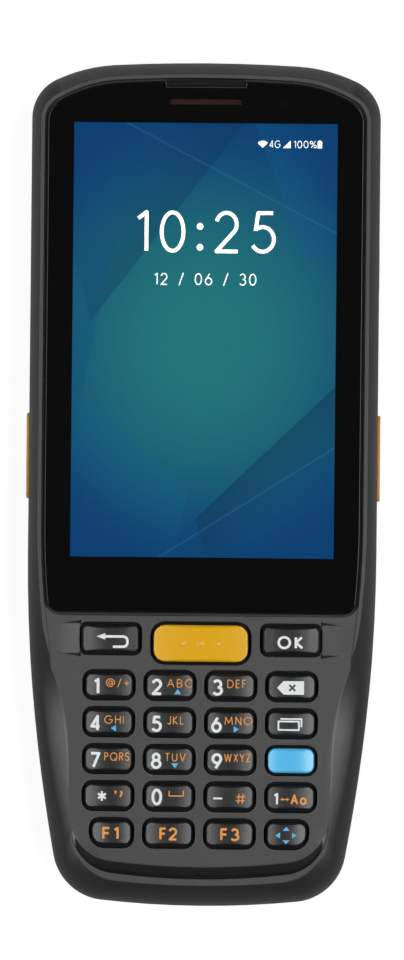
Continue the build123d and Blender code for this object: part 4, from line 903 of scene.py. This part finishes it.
def print_on(name, node, ink, polygons, film=INK_FILM, lift=INK_LIFT):
    """Lay polygons (millimetres) on a node as one piece of ink that rides on the node's body."""
    corners, faces = [], []
    for polygon in polygons:
        turns = zip(polygon, polygon[1:] + polygon[:1])
        if sum(x0 * y1 - x1 * y0 for (x0, y0), (x1, y1) in turns) < 0:
            polygon = polygon[::-1]
        fine = []
        for (x0, y0), (x1, y1) in zip(polygon, polygon[1:] + polygon[:1]):
            parts = max(1, round(hypot(x1 - x0, y1 - y0) / LATTICE))
            shares = [part / parts for part in range(parts)]
            fine += [(x0 + (x1 - x0) * share, y0 + (y1 - y0) * share) for share in shares]
        faces.append(list(range(len(corners), len(corners) + len(fine))))
        corners += [Vector(point) for point in fine]
    low_x, low_y = (min(corner[axis] for corner in corners) for axis in (0, 1))
    high_x, high_y = (max(corner[axis] for corner in corners) for axis in (0, 1))
    for column in range(int((high_x - low_x) / LATTICE) + 1):
        for row in range(int((high_y - low_y) / LATTICE) + 1):
            corners.append(Vector((low_x + (column + 0.5) * LATTICE, low_y + (row + 0.5) * LATTICE)))
    merged, _, triangles, _, _, sources = delaunay_2d_cdt(corners, [], faces, 1, 1e-5)
    covered = [triangle for triangle, source in zip(triangles, sources) if source]
    used = sorted({corner for triangle in covered for corner in triangle})
    order = {corner: place for place, corner in enumerate(used)}
    covered = [[order[corner] for corner in triangle] for triangle in covered]
    rise = (lift + film) * MM
    places = [(merged[corner].x * MM, merged[corner].y * MM) for corner in used]
    mesh = bpy.data.meshes.new(name)
    mesh.from_pydata([(x, y, height_of(node, x, y) + rise) for x, y in places], [], covered)
    piece = bpy.data.objects.new(name, mesh)
    bpy.context.scene.collection.objects.link(piece)
    solid = piece.modifiers.new("ink film", "SOLIDIFY")
    solid.thickness = film * MM
    solid.offset = -1 if mesh.polygons[0].normal.z > 0 else 1
    mesh.materials.append(inks[ink])
    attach(piece, nodes[node]["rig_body"])
    printed.append(piece)


# %% [markdown]
# ## Key legends
# The main sign of a key is bold and white, on its left; the second one is fine and orange, on its
# upper right; and four keys carry a small blue arrow. Places are measured from the middle of each
# key, so the tables hold only what differs from key to key.

# %% Lettered legends
BOLD = (3.3, 0.56)  # height of a bold number, and its pen
LETTER_HEIGHT = 1.7
LETTER_PEN = 0.18


def print_on_key(name, key, ink, polygons, **film):
    """Print polygons whose places are measured from the middle of a key."""
    low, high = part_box("key_" + key)
    x, y = (low.x + high.x) / 2 / MM, (low.y + high.y) / 2 / MM
    moved = [[(x + px, y + py) for px, py in polygon] for polygon in polygons]
    print_on("legend_" + name, "key_" + key, ink, moved, **film)


# number, its middle and width; letters, their middle and width
numbers = {
    "1": (-2.5, 1.2, "@/+", 1.75, 4.7),
    "2": (-2.55, 2.15, "ABC", 1.95, 5.1),
    "3": (-2.65, 2.15, "DEF", 1.2, 3.8),
    "4": (-2.6, 2.15, "GHI", 1.1, 3.9),
    "5": (-2.6, 2.15, "JKL", 1.2, 3.3),
    "6": (-2.8, 2.15, "MNO", 1.6, 5.6),
    "7": (-2.65, 2.15, "PQRS", 1.7, 5.0),
    "8": (-2.6, 2.15, "TUV", 1.25, 4.15),
    "9": (-2.65, 2.15, "WXYZ", 1.45, 5.3),
}
for digit, (middle, width, text, text_middle, text_width) in numbers.items():
    print_on_key("digit_" + digit, digit, "white", lettering(digit, middle, -0.25, width, *BOLD))
    small = lettering(text, text_middle, 0.5, text_width, LETTER_HEIGHT, LETTER_PEN)
    print_on_key("letters_" + digit, digit, "orange", small)

# name, key and ink; text, place, width, height and pen
signs = [
    ("digit_0", "0", "white", "0", -2.4, -0.1, 2.15, 3.4, 0.56),
    ("star", "star", "white", "*", -1.2, 0.0, 2.0, 3.6, 0.42),
    ("hash", "minus", "orange", "#", 2.15, -0.25, 2.1, 2.2, 0.22),
    ("input_one", "input", "white", "1", -3.0, -0.28, 0.95, 2.5, 0.42),
]
for name, key, ink, *text_and_sizes in signs:
    print_on_key(name, key, ink, lettering(*text_and_sizes))
for number, middle, width in (("1", -0.15, 3.3), ("2", 0.0, 3.65), ("3", 0.1, 3.85)):
    function = lettering("F" + number, middle, -0.12, width, 2.6, 0.46, gap=0.22)
    print_on_key("function_" + number, "f" + number, "orange", function)
print_on_key("ok", "ok", "white", lettering("OK", -0.1, -0.43, 5.25, 2.65, 0.5, gap=0.34))
print("printed pieces:", len(printed))

# %% [markdown]
# ## Drawn signs
# The other signs are arrows, cards and a tag, drawn with the same pen or as plain polygons: the small
# blue arrows, the bar for a space, two quotation marks, a minus, the back arrow with its hook, the
# delete tag with a dark cross printed over it, and two cards for the list of recent programs.


# %% Drawn signs
def arrow_head(x, y, to_x, to_y, tip, foot, half):
    """A triangle that points along one axis; tip and foot are measured from x, y in that direction."""
    foot_x, foot_y = x + foot * to_x, y + foot * to_y
    corners = [(x + tip * to_x, y + tip * to_y), (foot_x + half * to_y, foot_y - half * to_x)]
    return [[*corners, (foot_x - half * to_y, foot_y + half * to_x)]]


# key, direction, middle and half width
for digit, to_x, to_y, middle, half in (
    ("2", 0, 1, 1.55, 0.7),
    ("4", -1, 0, 1.0, 0.65),
    ("6", 1, 0, 1.15, 0.65),
    ("8", 0, -1, 1.15, 0.7),
):
    arrow = arrow_head(middle, -1.2, to_x, to_y, 0.55, -0.5, half)
    print_on_key("arrow_" + digit, digit, "blue", arrow)

UPRIGHT_CURSOR, LEVEL_CURSOR = (1.75, 0.95, 0.7), (2.15, 1.2, 0.6)
for count, (to_x, to_y) in enumerate(((0, 1), (0, -1), (1, 0), (-1, 0))):
    sizes = UPRIGHT_CURSOR if to_y else LEVEL_CURSOR
    print_on_key("cursor_%d" % count, "arrows", "blue", arrow_head(-0.1, -0.17, to_x, to_y, *sizes))

bracket = inked([(0.05, 1.2), (0.05, 0.15), (2.9, 0.15), (2.9, 1.2)], 0.22)
print_on_key("space_bar", "0", "orange", bracket)
quote = inked([(1.3, 0.95), (1.6, 0.9), (1.5, 0.45)], 0.3)
quote += inked([(2.5, 0.95), (2.75, 0.85), (2.75, 0.45), (2.45, -0.2)], 0.34)
print_on_key("quote", "star", "orange", quote)
print_on_key("minus", "minus", "white", inked([(-3.3, -0.25), (-1.5, -0.25)], 0.36))

swap = inked([(-1.8, -0.3), (-0.5, -0.3)], 0.22) + lettering("Aa", 1.55, -0.3, 3.2, 2.15, 0.36)
swap += arrow_head(-1.8, -0.3, -1, 0, 0.25, -0.2, 0.35) + arrow_head(-0.5, -0.3, 1, 0, 0.2, -0.25, 0.35)
print_on_key("input_letters", "input", "orange", swap)

hook = [(-1.4, 0.45), (2.55, 0.45), (3.1, 0.25), (3.35, -0.2), (3.35, -1.0), (3.1, -1.4), (2.6, -1.6)]
hook = inked([*hook, (0.45, -1.6)], 0.5) + arrow_head(-1.1, 0.45, -1, 0, 1.75, 0.0, 0.65)
print_on_key("back", "back", "white", hook)

tag = [(-2.95, -0.17), (-1.65, 1.18), (2.45, 1.18), (2.45, -1.52), (-1.65, -1.52)]
print_on_key("delete", "delete", "white", [tag])
cross = inked([(-0.5, -0.77), (0.7, 0.43)], 0.4) + inked([(-0.5, 0.43), (0.7, -0.77)], 0.4)
print_on_key("delete_cross", "delete", "dark", cross, lift=INK_LIFT + INK_FILM)

cards = inked([(-2.6, -1.2), (1.5, -1.2), (1.5, 0.5), (-2.6, 0.5), (-2.6, -1.2)], 0.34)
cards += inked([(-2.2, 1.0), (2.0, 1.0), (2.0, -0.6)], 0.34)
print_on_key("recents", "recents", "white", cards)
print("printed pieces:", len(printed))

# %% [markdown]
# ## Signs on the display
# The clock, the date and the small status signs are lit shapes that lie on the display panel, under
# the glass. They use the same strokes. They are generic: a time, a date in numbers, and the usual
# fans and bars for reception and charge.

# %% Display signs
screen_top = active_centre.y / MM + ACTIVE_LENGTH / MM / 2
screen_right = ACTIVE_WIDTH / MM / 2


def reception_fan(x, y, radius):
    """A fan of 90 degrees that opens upwards from a point."""
    rim = [radians(45 + 90 * step / 8) for step in range(9)]
    return [[(x, y)] + [(x + radius * cos(angle), y + radius * sin(angle)) for angle in rim]]


def upright_box(left, low, right, high):
    """A rectangle from its sides."""
    return [(left, low), (right, low), (right, high), (left, high)]


STATUS_HEIGHT = 1.5
status_y = screen_top - 4.1
foot = status_y - STATUS_HEIGHT / 2
signal = [(screen_right - 10.95, foot), (screen_right - 9.4, foot)]
signal.append((screen_right - 9.4, foot + STATUS_HEIGHT))
battery = [upright_box(screen_right - 4.0, foot, screen_right - 3.1, foot + 1.35)]
battery.append(upright_box(screen_right - 3.8, foot + 1.35, screen_right - 3.3, foot + 1.55))
screen_signs = {
    "clock": lettering("10:25", 0.2, screen_top - 21.8, 28.0, 8.5, 0.76, gap=0.34),
    "date": lettering("12 / 06 / 30", 0.15, screen_top - 31.3, 20.5, 2.4, 0.22, gap=0.3),
    "reception": reception_fan(screen_right - 15.0, foot, 1.45),
    "network": lettering("4G", screen_right - 12.55, status_y, 2.2, STATUS_HEIGHT, 0.12, gap=0.25),
    "signal": [signal],
    "charge": lettering("100%", screen_right - 6.5, status_y, 4.6, STATUS_HEIGHT, 0.13, gap=0.22),
    "battery": battery,
}
for name, shapes in screen_signs.items():
    print_on("screen_" + name, "display_module", "lit", shapes, film=0.01, lift=0.01)
print("display top edge at %.1f mm" % screen_top)

# %% [markdown]
# ## Floor
# The terminal lies on a plain pale floor. Near it the floor is an ordinary matt surface that keeps
# the soft shadow. A little light of its own, seen only directly, through glass and in reflections,
# lifts it to white. Farther out it is plain white.

# %% Floor
FLOOR_HALF = 3.0
SHADOW_REACH = (0.16, 0.6)  # metres from the terminal: the matt floor near it, and plain white beyond
FLOOR_GREY = "#969696"
LIFT_TO_WHITE = 0.84
LIFT_IN_REFLECTIONS = 0.2


def studio_floor():
    """A matt grey near the terminal, lifted to white for the eye."""
    material = bpy.data.materials.new("studio_floor")
    material.use_nodes = True
    tree = material.node_tree
    tree.nodes.clear()
    place = add(tree, "ShaderNodeTexCoord").outputs["Object"]
    far = between(tree, vector_sum(tree, "LENGTH", place), *SHADOW_REACH, soft=True)
    path = add(tree, "ShaderNodeLightPath").outputs
    seen = reckon(tree, "MAXIMUM", path["Is Camera Ray"], path["Is Transmission Ray"])
    mirrored = reckon(tree, "MULTIPLY", path["Is Glossy Ray"], LIFT_IN_REFLECTIONS)
    lift = reckon(tree, "MAXIMUM", reckon(tree, "MULTIPLY", seen, LIFT_TO_WHITE), mirrored)
    matt = add(tree, "ShaderNodeBsdfDiffuse", {"Color": colour(FLOOR_GREY)}).outputs[0]
    lifted, bright = (
        add(tree, "ShaderNodeEmission", {"Color": colour("#ffffff"), "Strength": strength}).outputs[0]
        for strength in (lift, seen)
    )
    near = add(tree, "ShaderNodeAddShader", {0: matt, 1: lifted}).outputs[0]
    both = add(tree, "ShaderNodeMixShader", {0: far, 1: near, 2: bright}).outputs[0]
    add(tree, "ShaderNodeOutputMaterial", {"Surface": both})
    return material


floor_mesh = bpy.data.meshes.new("floor")
floor_corners = [(x * FLOOR_HALF, y * FLOOR_HALF, 0) for x, y in ((-1, -1), (1, -1), (1, 1), (-1, 1))]
floor_mesh.from_pydata(floor_corners, [], [(0, 1, 2, 3)])
floor = bpy.data.objects.new("floor", floor_mesh)
floor.location.z = -0.01 * MM
floor_mesh.materials.append(studio_floor())
bpy.context.scene.collection.objects.link(floor)
print("floor %.0f m wide" % (2 * FLOOR_HALF))

# %% [markdown]
# ## World and lamps
# The world is brighter low down at the left and right, as in a studio with light walls and a dark
# ceiling, so the flat glass mirrors only the dark part. Two long soft lamps stand left and right,
# about 22 degrees off the view, so flat faces show their own colour and only tilted ones catch a
# highlight.

# %% World and lamps
LIGHT_WALLS, DARK_CEILING = 0.55, 0.06
WALL_TOP = (0.05, 0.7)
world = bpy.data.worlds.new("studio")
world.use_nodes = True
tree = world.node_tree
tree.nodes.clear()
x, _, z = parts_of(tree, add(tree, "ShaderNodeTexCoord").outputs["Generated"])
low_down = between(tree, z, *WALL_TOP, LIGHT_WALLS, 0.0, soft=True)
walls = reckon(tree, "MULTIPLY", low_down, reckon(tree, "ABSOLUTE", x))
level = reckon(tree, "ADD", walls, DARK_CEILING)
sky = add(tree, "ShaderNodeBackground", {"Color": colour("#ffffff"), "Strength": level}).outputs[0]
add(tree, "ShaderNodeOutputWorld", {"Surface": sky})
bpy.context.scene.world = world

# place and size in metres, and brightness
lamps = {
    "softbox_left": ((-0.37, 0.0, 0.9), (0.9, 0.28), 4.6),
    "softbox_right": ((0.37, 0.0, 0.9), (0.9, 0.28), 6.2),
}
for name, (place, (width, length), brightness) in lamps.items():
    light = bpy.data.lights.new(name, "AREA")
    light.shape = "RECTANGLE"
    light.size = width
    light.size_y = length
    light.energy = brightness * pi * width * length
    lamp = bpy.data.objects.new(name, light)
    lamp.location = place
    lamp.rotation_mode = "QUATERNION"
    lamp.rotation_quaternion = (-Vector(place)).to_track_quat("-Z", "Y")
    bpy.context.scene.collection.objects.link(lamp)
bpy.context.scene.view_settings.view_transform = "Standard"
print("lamps:", sorted(lamps))
